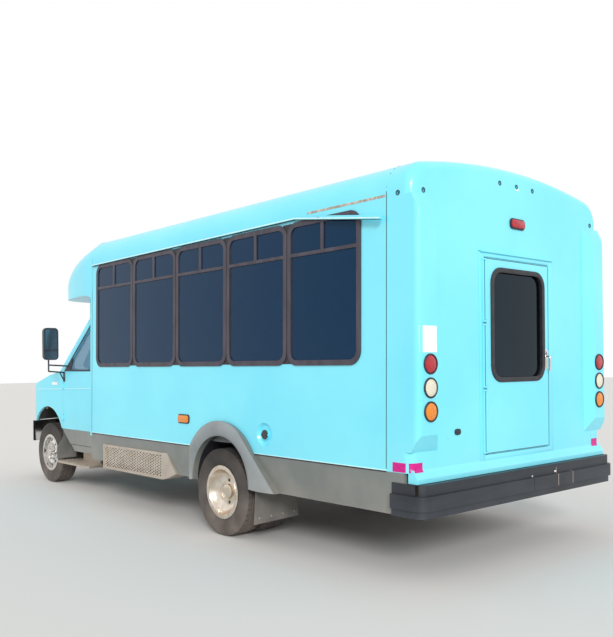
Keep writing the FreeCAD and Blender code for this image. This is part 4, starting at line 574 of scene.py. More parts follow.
for side, end in sides:
    shape = bmesh.new()
    for k in range(nut_count):
        turn = math.tau * (k + 0.5) / nut_count
        spot = Vector((nut_circle * math.cos(turn), 0, nut_circle * math.sin(turn)))
        spot += Vector((front_axle.x, side * (front_axle.y + nut_base), front_axle.z))
        turned(shape, nut_outline, spot, (0, side, 0), 6)
    make_piece("wheel_nuts_front_" + end, shape, wheel_chrome, "wheel_front_" + end)
    rim_face = Vector((twin_mid.x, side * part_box("rims_rear_left")[1].y, twin_mid.z))
    shape = bmesh.new()
    turned(shape, liner_outline, rim_face, (0, side, 0), 64)
    make_piece("wheel_liner_" + end, shape, polished_wheel, "twin_wheels_" + end)
    # Each hand hole is a thin black disc on the liner, painted shade.
    shape = bmesh.new()
    for height in (93, -93):
        turned(shape, ((0, 0), (0, 15), (1.5, 14), (1.5, 0)),
               rim_face + Vector((-6, -74 * side, height)) * MM, (0, side, 0), 24)
    make_piece("hand_hole_shade_" + end, shape, seal_rubber, "twin_wheels_" + end)
print("nuts per wheel", nut_count)

# %% [markdown]
# Rear lamps: three round ones on each raised pillar, sealed in thick rubber grommets. Red is the
# stop lamp, clear the reversing lamp, amber the turn signal. Each lens is a shallow dome. The flat
# lamps are plates: a rectangle whose corners are bevelled, then raised, with a soft front edge.

# %% Plates with round corners
def rounded_face(part, width, height, radius):
    """A flat rectangle in XY with round corners; returns its face."""
    verts = bmesh.ops.create_grid(part, x_segments=1, y_segments=1, size=0.5)["verts"]
    bmesh.ops.scale(part, vec=(width, height, 1), verts=verts)
    bmesh.ops.bevel(part, geom=verts, offset=radius, segments=6, profile=0.5,
                    affect="VERTICES", material=-1)
    return part.faces[:]


def raised(part, faces, depth, soft):
    """Extrudes flat faces along Z into a closed body and rounds the edges of its top by soft."""
    made = bmesh.ops.extrude_face_region(part, geom=faces, use_keep_orig=True)["geom"]
    verts = [item for item in made if isinstance(item, bmesh.types.BMVert)]
    bmesh.ops.translate(part, vec=(0, 0, depth), verts=verts)
    if soft:
        top = set(verts)
        edges = {edge for vert in verts for edge in vert.link_edges if set(edge.verts) <= top}
        edges = [edge for edge in edges if edge.calc_face_angle(0) > math.radians(60)]
        bmesh.ops.bevel(part, geom=edges, offset=soft, segments=2, profile=0.5,
                        affect="EDGES", material=-1)


def plate(shape, place, normal, width, height, radius, depth, soft=0.0):
    """A plate with round corners whose back lies at place and which rises along normal."""
    part = bmesh.new()
    raised(part, rounded_face(part, width, height, radius), depth, soft)
    placed(shape, part, place, normal)

# %% Rear lamps
lamp_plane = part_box("lamps")[0].x + 14 * MM
lamp_across = 1.09
lamp_rows = ((1.431, red_lens, "stop"), (1.276, clear_lens, "reverse"), (1.121, amber_lens, "turn"))
grommet_outline = ((0, 50), (0, 68), (7, 67.5), (11, 64), (11.5, 60), (9, 57.5), (4, 57), (0, 50))
dome_outline = ((2, 0), (2, 57), (6, 56.5), (9, 50), (11.5, 36), (12.8, 18), (13, 0))
grommets = bmesh.new()
for height, material, name in lamp_rows:
    shape = bmesh.new()
    for side in (1, -1):
        place = Vector((lamp_plane, side * lamp_across, height))
        turned(shape, dome_outline, place, (-1, 0, 0), 48)
        turned(grommets, grommet_outline, place, (-1, 0, 0), 48)
    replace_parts(make_piece("lamp_lens_" + name, shape, material), "lamps")
make_piece("lamp_grommets", grommets, seal_rubber)
print("rear lamps", len(lamp_rows) * 2)

# %% High lamp and side markers
def lamp_box(name, place, normal, size, radius, material):
    """A flat lamp: a dark base with a lower lens that has a rounded edge."""
    width, height, depth = size
    shape = bmesh.new()
    plate(shape, place, normal, width, height, radius, 0.55 * depth, soft=1.5 * MM)
    make_piece(name + "_base", shape, seal_rubber)
    shape = bmesh.new()
    edge = 9 * MM
    front = Vector(place) + Vector(normal).normalized() * 0.5 * depth
    plate(shape, front, normal, width - 2 * edge, height - 2 * edge, radius - edge, 0.5 * depth,
          soft=4 * MM)
    make_piece(name + "_lens", shape, material)


lamp_box("high_lamp", (rear_face, 0, 2.4625), (-1, 0, 0), (0.186, 0.078, 0.022), 30 * MM, red_lens)
for side, end in sides:
    lamp_box("side_marker_" + end, on_wall(0.583, 0.955, side, -1 * MM), outwards(side),
             (0.18, 0.082, 0.019), 26 * MM, amber_lens)
print("side markers", len(sides))

# %% [markdown]
# Rear exit: a rubber frame holds the window, a flat casing surrounds the door, a drip rail sits
# above, and a chrome pull handle with its lock is on the right edge. A black weather strip runs
# round the door, and a black strip along the drip rail is a painted shadow.

# %% Frames and blocks
def ring(shape, place, normal, width, height, radius, band, depth, soft=0.0):
    """A frame with round corners: band is its width in the plane, and depth how far it rises."""
    part = bmesh.new()
    faces = rounded_face(part, width, height, radius)
    band_faces = bmesh.ops.inset_individual(part, faces=faces, thickness=band,
                                            use_even_offset=True)["faces"]
    bmesh.ops.delete(part, geom=faces, context="FACES_ONLY")
    raised(part, band_faces, depth, soft)
    placed(shape, part, place, normal)


def block(shape, low, high, bevel=0.0):
    """A box between two corners, its edges rounded by bevel."""
    low, high = Vector(low), Vector(high)
    verts = bmesh.ops.create_cube(shape, size=1.0)["verts"]
    bmesh.ops.scale(shape, vec=high - low, verts=verts)
    bmesh.ops.translate(shape, vec=(low + high) / 2, verts=verts)
    if bevel:
        edges = {edge for vert in verts for edge in vert.link_edges}
        bmesh.ops.bevel(shape, geom=list(edges), offset=bevel, segments=2, profile=0.5,
                        affect="EDGES", material=-1)

# %% Bent bars
def pipe(name, points, radius, material, body="bus_body", smooth=True):
    """A bent round bar along a smooth curve through control points, as a mesh."""
    line = bpy.data.curves.new(name, "CURVE")
    line.dimensions = "3D"
    line.bevel_depth = radius
    line.bevel_resolution = 4
    line.use_fill_caps = True
    spline = line.splines.new("NURBS" if smooth else "POLY")
    spline.points.add(len(points) - 1)
    for point, place in zip(spline.points, points):
        point.co = (*place, 1.0)
    if smooth:
        spline.order_u = 3
        spline.use_endpoint_u = True
    bent = bpy.data.objects.new(name, line)
    shape = bmesh.new()
    shape.from_mesh(bpy.data.meshes.new_from_object(bent))
    bpy.data.objects.remove(bent)
    return make_piece(name, shape, material, body)

# %% Rear window
door_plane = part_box("rear_door_glass")[0].x - 18 * MM
door_thick = 48 * MM
glass_middle, glass_wide, glass_high = 1.708, 0.664, 0.796
for sign, plane, name in ((-1, door_plane, ""), (1, door_plane + door_thick, "_inside")):
    shape = bmesh.new()
    ring(shape, (plane, 0, glass_middle), (sign, 0, 0), glass_wide + 36 * MM, glass_high + 36 * MM,
         0.12, 36 * MM, 9 * MM, soft=3 * MM)
    make_piece("rear_window_rubber" + name, shape, seal_rubber, "rear_exit", angle=math.radians(40))
sleeve = bmesh.new()
ring(sleeve, (door_plane + 17 * MM, 0, glass_middle), (-1, 0, 0), glass_wide, glass_high, 0.102,
     14 * MM, 17 * MM)
make_piece("rear_window_sleeve", sleeve, seal_rubber, "rear_exit")
print("rear door plane", round(door_plane, 4))

# %% Door casing, weather strip and the painted shadow of the drip rail
casing_inner, casing_outer, casing_low, casing_high = 0.424, 0.478, 0.742, 2.222
casing = bmesh.new()
for right_edge, left_edge, low, high in (
        (casing_inner, casing_outer, casing_low, casing_high),
        (-casing_outer, -casing_inner, casing_low, casing_high),
        (-casing_inner, casing_inner, casing_high - 29 * MM, casing_high),
        (-casing_inner, casing_inner, casing_low, casing_low + 33 * MM)):
    block(casing, (rear_face - 3 * MM, right_edge, low), (rear_face, left_edge, high), 1 * MM)
make_piece("rear_door_casing", casing, sky_blue_enamel)
# This black strip along the drip rail is a painted shadow.
strip = bmesh.new()
block(strip, (rear_face - 4 * MM, -casing_outer, casing_high),
      (rear_face, casing_outer, casing_high + 5 * MM), 1 * MM)
make_piece("drip_rail_shadow", strip, seal_rubber)
strip = bmesh.new()
ring(strip, (door_plane, 0, 1.484), (-1, 0, 0), 0.812, 1.392, 4 * MM, 4 * MM, 1 * MM)
make_piece("rear_door_strip", strip, seal_rubber, "rear_exit")
print("casing", casing_low, "to", casing_high)

# %% Rear door handle
handle = bmesh.new()
handle_y = -0.372
plate(handle, (door_plane, handle_y, 1.455), (-1, 0, 0), 0.052, 0.15, 10 * MM, 4 * MM, soft=1 * MM)
turned(handle, ((0, 0), (0, 14), (9, 13), (10, 9), (10, 0)), (door_plane - 4 * MM, handle_y, 1.505),
       (-1, 0, 0), 24)
make_piece("rear_handle_plate", handle, bumper_chrome, "rear_exit")
grip_line = [(door_plane - back * MM, handle_y, height) for back, height in (
    (4, 1.48), (34, 1.48), (36, 1.462), (36, 1.40), (36, 1.365))]
pipe("rear_handle_grip", grip_line, 7 * MM, bumper_chrome, "rear_exit")
print("handle at y", handle_y)

# %% [markdown]
# The side walls lean in by a few millimetres above the rub rail, so a place on them is found from
# its height. Black sealant fills the gaps between the window frames, a dark rub rail covers the
# joint of wall and skirt, a pale strip on its top is a painted highlight, and a fine bead marks the
# seams of the rear and front caps. Tape and beads are thin sheets: a fine grid held off the bus,
# whose points are dropped on to its surface.

# %% Flat bars
def bar(shape, start, end, normal, wide, deep):
    """A flat bar from start to end, its back on a surface that faces normal."""
    start, end = Vector(start), Vector(end)
    half = (end - start).length / 2
    run = (end - start).normalized()
    normal = Vector(normal) - run * run.dot(Vector(normal))
    part = bmesh.new()
    block(part, (-half, -wide / 2, 0), (half, wide / 2, deep))
    placed(shape, part, (start + end) / 2, normal, normal.cross(run))

# %% Thin sheets laid on the bus
def skin_tree(*names):
    """A search tree over the surfaces of CAD nodes, to lay thin pieces on."""
    shape = bmesh.new()
    for name in names:
        shape.from_mesh(nodes[name].data)
    tree = BVHTree.FromBMesh(shape)
    shape.free()
    return tree


def thickened(shape, towards, thickness):
    """Turns the faces of an open sheet towards a direction, then gives it thickness."""
    bmesh.ops.recalc_face_normals(shape, faces=shape.faces)
    if sum(face.normal.dot(Vector(towards)) for face in shape.faces) < 0:
        bmesh.ops.reverse_faces(shape, faces=shape.faces[:])
    bmesh.ops.solidify(shape, geom=shape.faces[:], thickness=thickness)


def patch(name, tree, centre, direction, width, height, material, body="bus_body", lift=0.2,
          thickness=0.6, cells=(6, 6), tall=(0, 0, 1)):
    """A thin sheet laid on the bus along direction: tape, a bare patch, a mark. Lift is in mm."""
    shape = bmesh.new()
    part = bmesh.new()
    bmesh.ops.create_grid(part, x_segments=cells[0], y_segments=cells[1], size=0.5)
    bmesh.ops.scale(part, vec=(width, height, 1), verts=part.verts)
    direction = Vector(direction)
    placed(shape, part, Vector(centre), -direction, tall)
    for vert in shape.verts:
        place, normal = tree.ray_cast(vert.co - direction, direction)[:2]
        if place:
            vert.co = place + normal * lift * MM
    thickened(shape, -direction, -thickness * MM)
    return make_piece(name, shape, material, body)

# %% Side wall trim
window_front, window_pitch, window_sill, window_head = 2.286, 0.786, 1.426, 2.505
seam_ahead, body_ahead = -1.874, 2.39
entrance_rear, entrance_front = 1.55, 2.33
flare_reach = 0.452
low, high = window_sill + 12 * MM, window_head - 6 * MM
left_runs = [(seam_ahead, -flare_reach), (flare_reach, body_ahead)]
right_runs = [left_runs[0], (flare_reach, entrance_rear), (entrance_front + 20 * MM, body_ahead)]

sealant, rails, rail_highlights = bmesh.new(), bmesh.new(), bmesh.new()
for side, first, runs in ((1, 1, left_runs), (-1, 2, right_runs)):
    for k in range(first, 5):
        place = on_wall(window_front - k * window_pitch, (low + high) / 2, side)
        plate(sealant, place, outwards(side), 0.11, high - low, 10 * MM, 3 * MM)
    for start, end in runs:
        # The pale strip on top of each rail is a painted highlight.
        for strip, foot, top in ((rails, -6 * MM, 3 * MM), (rail_highlights, 3 * MM, 9 * MM)):
            block(strip, (at(start), side * half_width - 5 * MM, rail_height + foot),
                  (at(end), side * half_width + 4 * MM, rail_height + top), 1 * MM)
make_piece("window_sealant", sealant, seal_rubber)
make_piece("rub_rails", rails, seal_rubber)
make_piece("rub_rail_highlights", rail_highlights, painted_highlight_enamel)

body_tree = skin_tree("wall_left", "wall_right", "roof", "rear_cap", "front_cap")
for name, ahead in (("rear", seam_ahead), ("front", body_ahead)):
    for side, end in sides:
        patch("seam_%s_%s" % (name, end), body_tree, on_wall(ahead, 1.66, side), (0, -side, 0),
              5 * MM, 1.84, seal_rubber, lift=0.4, thickness=0.8, cells=(1, 24))
    patch("seam_%s_roof" % name, body_tree, (at(ahead), 0, 2.9), (0, 0, -1), 5 * MM, 2.38, seal_rubber,
          lift=0.4, thickness=0.8, cells=(1, 60), tall=(0, 1, 0))
print("rub rail lengths", [round(end - start, 2) for start, end in left_runs + right_runs])

# %% [markdown]
# What the years have left: dried brown glue above the hanging drip rail, bare primer where a
# sticker was cut off, and torn bits of bright tape that mark the corners of the body.

# %% Marks, tape and the fuel cap
patch("old_glue", body_tree, on_wall(-1.47, 2.552), (0, -1, 0), 0.78, 17 * MM, old_glue, cells=(12, 1))
patch("bare_square", body_tree, (rear_face - 62 * MM, 1.105, 1.593), (1, 0, 0), 0.165, 0.172,
      white_primer)
patch("white_dab", body_tree, (rear_face, -6 * MM, 2.722), (1, 0, 0), 46 * MM, 14 * MM, white_primer)
tapes = (("side", on_wall(-1.985, 0.757), (0, -1, 0), 0.11),
         ("back_left", (rear_face, 1.155, 0.757), (1, 0, 0), 0.1),
         ("back_right", (rear_face, -1.11, 0.76), (1, 0, 0), 0.09))
for name, place, direction, width in tapes:
    patch("tape_" + name, body_tree, place, direction, width, 62 * MM, magenta_tape, lift=0.6)

cap_ahead, cap_height, grip_circle, grip_count = -0.574, 0.884, 35.5 * MM, 24
filler_cap = bmesh.new()
turned(filler_cap, ((19, 0), (19, 37), (21, 36), (26, 35), (28, 32), (28, 0)),
       on_wall(cap_ahead, cap_height, proud=-27 * MM), outwards(1), 48)
for k in range(grip_count):
    angle = math.tau * k / grip_count
    spot = on_wall(cap_ahead + grip_circle * math.cos(angle), cap_height + grip_circle * math.sin(angle),
                   proud=-3 * MM)
    block(filler_cap, spot - Vector((2, 3, 2)) * MM, spot + Vector((2, 3, 2)) * MM, 0.8 * MM)
bar(filler_cap, on_wall(cap_ahead - 32 * MM, cap_height), on_wall(cap_ahead + 32 * MM, cap_height),
    outwards(1), 14 * MM, 7 * MM)
make_piece("fuel_cap", filler_cap, black_plastic)
print("tapes", len(tapes))

# %% [markdown]
# Low parts of the driver's side: expanded metal in front of the battery box, with a black plate set
# in from it as painted shade, ribs on the step, a bolted strip at the foot of each rear mud flap, and
# scrapes on the rear bumper.

# %% Battery box mesh and step ribs
mesh_rear, mesh_front, mesh_low, mesh_high = 0.973, 2.099, 0.400, 0.596
mesh_slope = 0.42
strand_gap = 62 * MM
strands = bmesh.new()
run = (mesh_high - mesh_low) / mesh_slope
for sign in (1, -1):
    for k in range(int((mesh_front - mesh_rear + run) / strand_gap) + 1):
        start = mesh_rear - run + k * strand_gap
        low_x, high_x = max(start, mesh_rear), min(start + run, mesh_front)
        if high_x - low_x < 0.2 * strand_gap:
            continue
        climbs = [(x, (x - start) * mesh_slope) for x in (low_x, high_x)]
        ends = [(at(x), half_width - 1 * MM, mesh_low + climb if sign > 0 else mesh_high - climb)
                for x, climb in climbs]
        bar(strands, *ends, (0, 1, 0), 6.5 * MM, 2 * MM)
make_piece("battery_mesh", strands, galvanised_mesh)
# This black plate inside the box is painted shade behind the mesh.
behind = bmesh.new()
plate(behind, (at((mesh_rear + mesh_front) / 2), half_width - 31 * MM, (mesh_low + mesh_high) / 2),
      (0, 1, 0), mesh_front - mesh_rear, mesh_high - mesh_low, 2 * MM, 4 * MM)
make_piece("battery_box_shade", behind, seal_rubber)

ribs = bmesh.new()
for k in range(9):
    y = 0.765 + k * 36 * MM
    block(ribs, (at(2.76), y, 0.315), (at(3.54), y + 9 * MM, 0.321), 2 * MM)
make_piece("step_ribs", ribs, mill_aluminium)
print("each strand runs", round(run, 3), "m along the bus")

# %% Flap strips and bumper scrapes
bolts, bands = bmesh.new(), bmesh.new()
for side in (1, -1):
    foot, top = (at(-0.448), side * 0.775, 0.215), (at(-0.448), side * 1.212, 0.201)
    bar(bands, foot, top, (-1, 0, 0), 40 * MM, 3 * MM)
    for share in (0.08, 0.36, 0.64, 0.92):
        turned(bolts, ((0, 0), (0, 7), (4, 6), (5, 3), (5, 0)),
               Vector(foot).lerp(Vector(top), share) - Vector((3 * MM, 0, 0)), (-1, 0, 0), 6)
make_piece("flap_bolts", bolts, dusty_steel)
make_piece("flap_bands", bands, flap_rubber)

bumper_tree = skin_tree("rear_bumper")
bumper_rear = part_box("rear_bumper")[0].x
for number, (y, height, wide, tall, finish) in enumerate((
        (-0.03, 0.535, 4, 0.11, seal_rubber), (-0.36, 0.555, 5, 0.15, dusty_steel),
        (-0.345, 0.60, 26, 0.012, white_primer), (-0.57, 0.535, 4, 0.11, dusty_steel),
        (-0.03, 0.592, 16, 0.010, white_primer))):
    patch("bumper_scrape_%d" % number, bumper_tree, (bumper_rear, y, height), (1, 0, 0),
          wide * MM, tall, finish, lift=0.4, cells=(2, 24))
print("bumper rear", round(bumper_rear, 4))

# %% [markdown]
# Holes of lamps that are gone keep their rubber grommets, and the plate lamp its dark base. Each
# drip rail has a black strip under it, a painted shadow, and a pale strip on its edge, a painted
# highlight. The left one has come loose at the rear, and swings out and down from its break. A soft
# bulge dresses each flare, in a paler grey that is a painted highlight. Behind the flare a black
# moulded well closes the arch above the twin wheels, and two panels of sheet close the body's front
# opening beside the shoulders of the cab.

# %% Grommets, and the painted shadow and highlight of the drip rails
holes = [((rear_face, y, z), (-1, 0, 0)) for y, z in (
    (-0.212, 2.74), (0, 2.74), (0.212, 2.74), (-1.07, 2.57), (1.07, 2.57))]
holes += [(on_wall(seam_ahead - 0.099, 2.555, side), outwards(side)) for side in (1, -1)]
grommets = bmesh.new()
for place, normal in holes:
    turned(grommets, ((-2, 12), (-2, 19), (1.5, 18), (2, 14), (-2, 12)), place, normal, 24)
plate(grommets, (rear_face, 0.733, 0.964), (-1, 0, 0), 66 * MM, 42 * MM, 20 * MM, 7 * MM, soft=2 * MM)
make_piece("hole_grommets", grommets, seal_rubber)

gutter_y = half_width - 29 * MM
gutter_front, gutter_rear, gutter_break = (2.365, 0, 2.503), (-1.864, 0, 2.5285), (-0.955, 0, 2.523)
hanging_end = (-1.864, 38 * MM, 2.392)
# The black strips under the drip rails are a painted shadow, the pale strips on their edges a painted
# highlight.
shade_strips, highlight_edges = bmesh.new(), bmesh.new()
for side, *run in ((1, gutter_break, gutter_front), (1, gutter_break, hanging_end),
                   (-1, gutter_rear, gutter_front)):
    low = [(at(ahead), side * (gutter_y + swing + 14 * MM), height) for ahead, swing, height in run]
    edge = [(at(ahead), side * (gutter_y + swing + 26 * MM), height + 8 * MM)
            for ahead, swing, height in run]
    bar(shade_strips, *low, (0, 0, -1), 23 * MM, 3 * MM)
    bar(highlight_edges, *edge, (0, side, 0), 9 * MM, 1 * MM)
make_piece("gutter_shade_strips", shade_strips, seal_rubber)
make_piece("gutter_highlights", highlight_edges, painted_highlight_enamel)
print("grommets", len(holes))

# %% Flare bulges
flare_inner, flare_outer, flare_centre = 0.404, 0.530, 0.437
flare_front, flare_foot, flare_knee = 0.444, (-0.728, 0.437), (-0.440, 0.722)
flare_plane, flare_rise, knee_angle = half_width + 31 * MM, 22 * MM, math.radians(147)


def flare_reach_at(angle):
    """How far the flare's outer edge is from the wheel's middle, at an angle from the front."""
    if math.cos(angle) > 0:
        return min(flare_outer, flare_front / math.cos(angle))
    run, fall = flare_foot[0] - flare_knee[0], flare_foot[1] - flare_knee[1]
    offset = flare_knee[0] * fall - (flare_knee[1] - flare_centre) * run
    reach = offset / (math.cos(angle) * fall - math.sin(angle) * run)
    return reach if angle > knee_angle else min(flare_outer, reach)


# Each bulge is finished in the paler grey, a painted highlight.
for side, end in sides:
    shape = bmesh.new()
    bmesh.ops.create_grid(shape, x_segments=72, y_segments=10, size=0.5)
    for vert in shape.verts:
        angle, share = (vert.co.x + 0.5) * math.pi, vert.co.y + 0.5
        radius = flare_inner + (flare_reach_at(angle) - flare_inner) * share
        rise = flare_rise * max(math.sin(share * math.pi), 0.0) ** 0.6 - 1 * MM
        vert.co = Vector((axle_x + radius * math.cos(angle), side * (flare_plane + rise),
                          flare_centre + radius * math.sin(angle)))
    thickened(shape, (0, side, 0), 2 * MM)
    make_piece("flare_bulge_" + end, shape, highlight_grey_enamel, angle=math.radians(50))
print("flare plane", round(flare_plane, 4))

# %% Wheel wells and shoulder panels
well_radius, well_inner, well_outer = 0.401, 0.700, 1.195
wells = bmesh.new()
for side in (1, -1):
    part = bmesh.new()
    verts = [part.verts.new((axle_x + reach, side * y, flare_centre)) for reach, y in (
        (60 * MM, well_inner), (well_radius, well_inner), (well_radius, well_outer))]
    edges = [part.edges.new(pair) for pair in zip(verts, verts[1:])]
    bmesh.ops.spin(part, geom=verts + edges, cent=(axle_x, 0, flare_centre), axis=(0, -1, 0),
                   angle=math.pi, steps=36)
    bmesh.ops.recalc_face_normals(part, faces=part.faces)
    bmesh.ops.solidify(part, geom=part.faces[:], thickness=2 * MM)
    joined(wells, part)
make_piece("wheel_wells", wells, seal_rubber, angle=math.radians(40))

panel_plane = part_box("cab_shell")[0].x - 10 * MM
panels = bmesh.new()
for side in (1, -1):
    part = bmesh.new()
    part.faces.new([part.verts.new((panel_plane, side * y, height)) for y, height in (
        (0.985, 1.15), (0.985, 2.18), (0.79, 2.18), (0.965, 1.30))])
    joined(panels, part)
make_piece("cab_shoulder_panels", panels, sky_blue_enamel)
print("panel plane", round(panel_plane, 4))

# %% [markdown]
# The cab: dark rubber round the door glass, a pull handle, the crease line stamped along door and
# fender with a pale strip on it that is a painted highlight, a bare patch where a badge was, and the
# two silvered glasses of each mirror.

# %% Places on the cab doors
cab_half, belt_height = 1.007, 1.374
door_rear, door_front = 2.606, 3.558
cab_lean = math.atan2(0.142, 0.608)
pillar_slope = 0.8008
pane_low, pane_high, sail_top = 0.012, 0.592, 0.155
front_low, front_high = (door_front - 0.039 - pillar_slope * up for up in (pane_low, pane_high))
crease_rear, crease_front = (2.63, 1.188), (4.36, 1.148)
crease_slope = (crease_front[1] - crease_rear[1]) / (crease_front[0] - crease_rear[0])
cab_tree = skin_tree("cab_shell")
print("crease slope", round(crease_slope, 4))


def loop_bars(shape, corners, normal, wide, deep, past):
    """Bars round a loop of corners, each running past its ends to close them."""
    for start, stop in zip(corners, corners[1:] + corners[:1]):
        along = (stop - start).normalized() * past
        bar(shape, start - along, stop + along, normal, wide, deep)


def on_cab(ahead, up, side, proud=0.0):
    """A place on the leaned window plane of a cab door: up is measured along it from the belt."""
    outward = Vector((0, side * math.cos(cab_lean), math.sin(cab_lean)))
    place = Vector((at(ahead), side * (cab_half - up * math.sin(cab_lean)),
                    belt_height + up * math.cos(cab_lean)))
    return place + outward * proud

# %% Cab doors and mirrors
for side, end, door in ((1, "left", "driver_door"), (-1, "right", "passenger_door")):
    leaned = (0, side * math.cos(cab_lean), math.sin(cab_lean))
    seal = bmesh.new()
    loop_bars(seal, [on_cab(x, up, side, -1 * MM) for x, up in (
        (door_rear + 0.03, pane_low), (front_low, pane_low), (front_high, pane_high),
        (door_rear + 0.03, pane_high))], leaned, 20 * MM, 4 * MM, 9 * MM)
    part = bmesh.new()
    sail = [part.verts.new(on_cab(x, up, side)) for x, up in (
        (front_low, pane_low), (front_low - 0.14, pane_low), (front_low - 0.14, sail_top))]
    bmesh.ops.contextual_create(part, geom=sail)
    bmesh.ops.solidify(part, geom=part.faces[:], thickness=6 * MM)
    joined(seal, part)
    make_piece("door_glass_rubber_" + end, seal, seal_rubber, door)

    # The pale strip laid along each crease is a painted highlight.
    for tree, body, name, start, stop in (
            (skin_tree("cab_door_" + end), door, "door", door_rear + 0.02, 3.545),
            (cab_tree, "bus_body", "fender", 3.575, 4.30)):
        middle = (start + stop) / 2
        height = crease_rear[1] + (middle - crease_rear[0]) * crease_slope
        patch("crease_%s_%s" % (name, end), tree, (at(middle), side * cab_half, height),
              (0, -side, 0), stop - start, 6 * MM, painted_highlight_enamel, body, lift=1.8, thickness=2.4,
              cells=(16, 1), tall=Vector((-crease_slope, 0, 1)).normalized())
    handle = bmesh.new()
    plate(handle, (at(door_rear + 0.115), side * cab_half, 1.262), (0, side, 0), 0.15, 46 * MM,
          12 * MM, 4 * MM, soft=1 * MM)
    grip_y = side * (cab_half + 12 * MM)
    block(handle, (at(door_rear + 0.06), grip_y - 5 * MM, 1.252),
          (at(door_rear + 0.165), grip_y + 5 * MM, 1.276), 4 * MM)
    make_piece("door_handle_" + end, handle, black_plastic, door)

    mirrors = bmesh.new()
    for middle, high, radius in ((1.752, 0.232, 26 * MM), (1.570, 0.088, 22 * MM)):
        place = (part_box("mirror_" + end)[0].x, side * (half_width - 7 * MM), middle)
        plate(mirrors, place, (-1, 0, 0), 0.138, high, radius, 2 * MM)
    make_piece("mirror_glasses_" + end, mirrors, mirror_silver, door)
patch("badge_patch", cab_tree, (at(3.80), cab_half, 1.228), (0, -1, 0), 0.15, 34 * MM, white_primer)
print("doors lean in", round(math.degrees(cab_lean), 1), "degrees")

# %% [markdown]
# The front: two rectangular headlamps and turn signals in the pockets beside the grille, a rubber
# rub strip on the bumper, a black gasket round the windshield and two wipers resting on its foot.

# %% Front lamps, windshield gasket and wipers
lamp_front, lamp_deep = at(4.645), 68 * MM
for name, material, inner, outer in (("head", clear_lens, 0.474, 0.668),
                                     ("signal", amber_lens, 0.674, 0.756)):
    shape = bmesh.new()
    for side in (1, -1):
        plate(shape, (lamp_front - lamp_deep, side * (inner + outer) / 2, 0.96), (1, 0, 0),
              outer - inner, 0.156, 10 * MM, lamp_deep, soft=7 * MM)
    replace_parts(make_piece(name + "_lamps", shape, material), "lamps")

bumper_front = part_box("front_bumper")[1].x
shape = bmesh.new()
block(shape, (bumper_front - 4 * MM, -0.615, 0.585), (bumper_front, 0.615, 0.645), 1.5 * MM)
make_piece("front_rub_strip", shape, seal_rubber)

pane_foot, pane_head = Vector((at(3.650), 0.932, 1.374)), Vector((at(3.150), 0.790, 1.982))
up_pane = Vector((pane_head.x - pane_foot.x, 0, pane_head.z - pane_foot.z)).normalized()
outward = Vector((up_pane.z, 0, -up_pane.x))
mirror_y = Vector((1, -1, 1))
corners = [pane_foot, pane_foot * mirror_y, pane_head * mirror_y, pane_head]
pane_middle = sum(corners, Vector()) / 4
corners = [corner + (pane_middle - corner).normalized() * 14 * MM for corner in corners]
gasket = bmesh.new()
loop_bars(gasket, corners, outward, 28 * MM, 3 * MM, 12 * MM)
make_piece("windshield_gasket", gasket, seal_rubber)
for pivot_y, end in ((0.62, "left"), (-0.08, "right")):
    pivot = Vector((at(3.637), pivot_y, 1.392)) + outward * 4 * MM
    tip = pivot - Vector((0, 0.46, 0)) + up_pane * 0.10 + outward * 10 * MM
    pipe("wiper_arm_" + end, [pivot, pivot.lerp(tip, 0.4) + outward * 22 * MM, tip], 5 * MM,
         black_plastic)
    blade = bmesh.new()
    half_blade = Vector((0, 0.24, 0)) - up_pane * 0.05
    bar(blade, tip - half_blade, tip + half_blade, outward, 9 * MM, 12 * MM)
    make_piece("wiper_blade_" + end, blade, seal_rubber)
print("windshield leans back", round(math.degrees(math.atan2(-up_pane.x, up_pane.z)), 1), "degrees")

# %% [markdown]
# The entrance: clear glass in both leaves, a rubber edge where they meet and a grab rail on each.

# %% Entrance leaves
leaf_gap = 6 * MM
leaf_width = (entrance_front - entrance_rear - 3 * leaf_gap) / 2
leaf_middle, leaf_tall = 1.4425, 1.645
for leaf, rear, meeting, inwards in (
        ("front", entrance_front - leaf_gap - leaf_width, 4 * MM, 0.11),
        ("rear", entrance_rear + leaf_gap, leaf_width - 4 * MM, -0.11)):
    middle, body = rear + leaf_width / 2, "entry_" + leaf
    shape = bmesh.new()
    plate(shape, on_wall(middle, leaf_middle, -1, -20 * MM), outwards(-1), leaf_width - 82 * MM,
          leaf_tall + 8 * MM, 45 * MM, 5 * MM)
    make_piece("leaf_glass_" + leaf, shape, cab_glass, body)
    shape = bmesh.new()
    ring(shape, on_wall(middle, leaf_middle, -1), outwards(-1), leaf_width - 74 * MM,
         leaf_tall + 16 * MM, 50 * MM, 14 * MM, 3 * MM, soft=1 * MM)
    edge = rear + meeting
    bar(shape, on_wall(edge, 0.47, -1), on_wall(edge, 2.38, -1), outwards(-1), 14 * MM, 3 * MM)
    make_piece("leaf_rubber_" + leaf, shape, seal_rubber, body)
    rail = [on_wall(middle + inwards, height, -1, -proud * MM) for height, proud in (
        (1.02, 36), (1.03, 62), (1.10, 70), (1.50, 70), (1.57, 62), (1.58, 36))]
    pipe("leaf_rail_" + leaf, rail, 11 * MM, bumper_chrome, body)
print("leaf width", round(leaf_width, 3))

# %% [markdown]
# Below the floor: the drive shaft between the engine and the rear axle, and the exhaust with its
# silencer on the right.

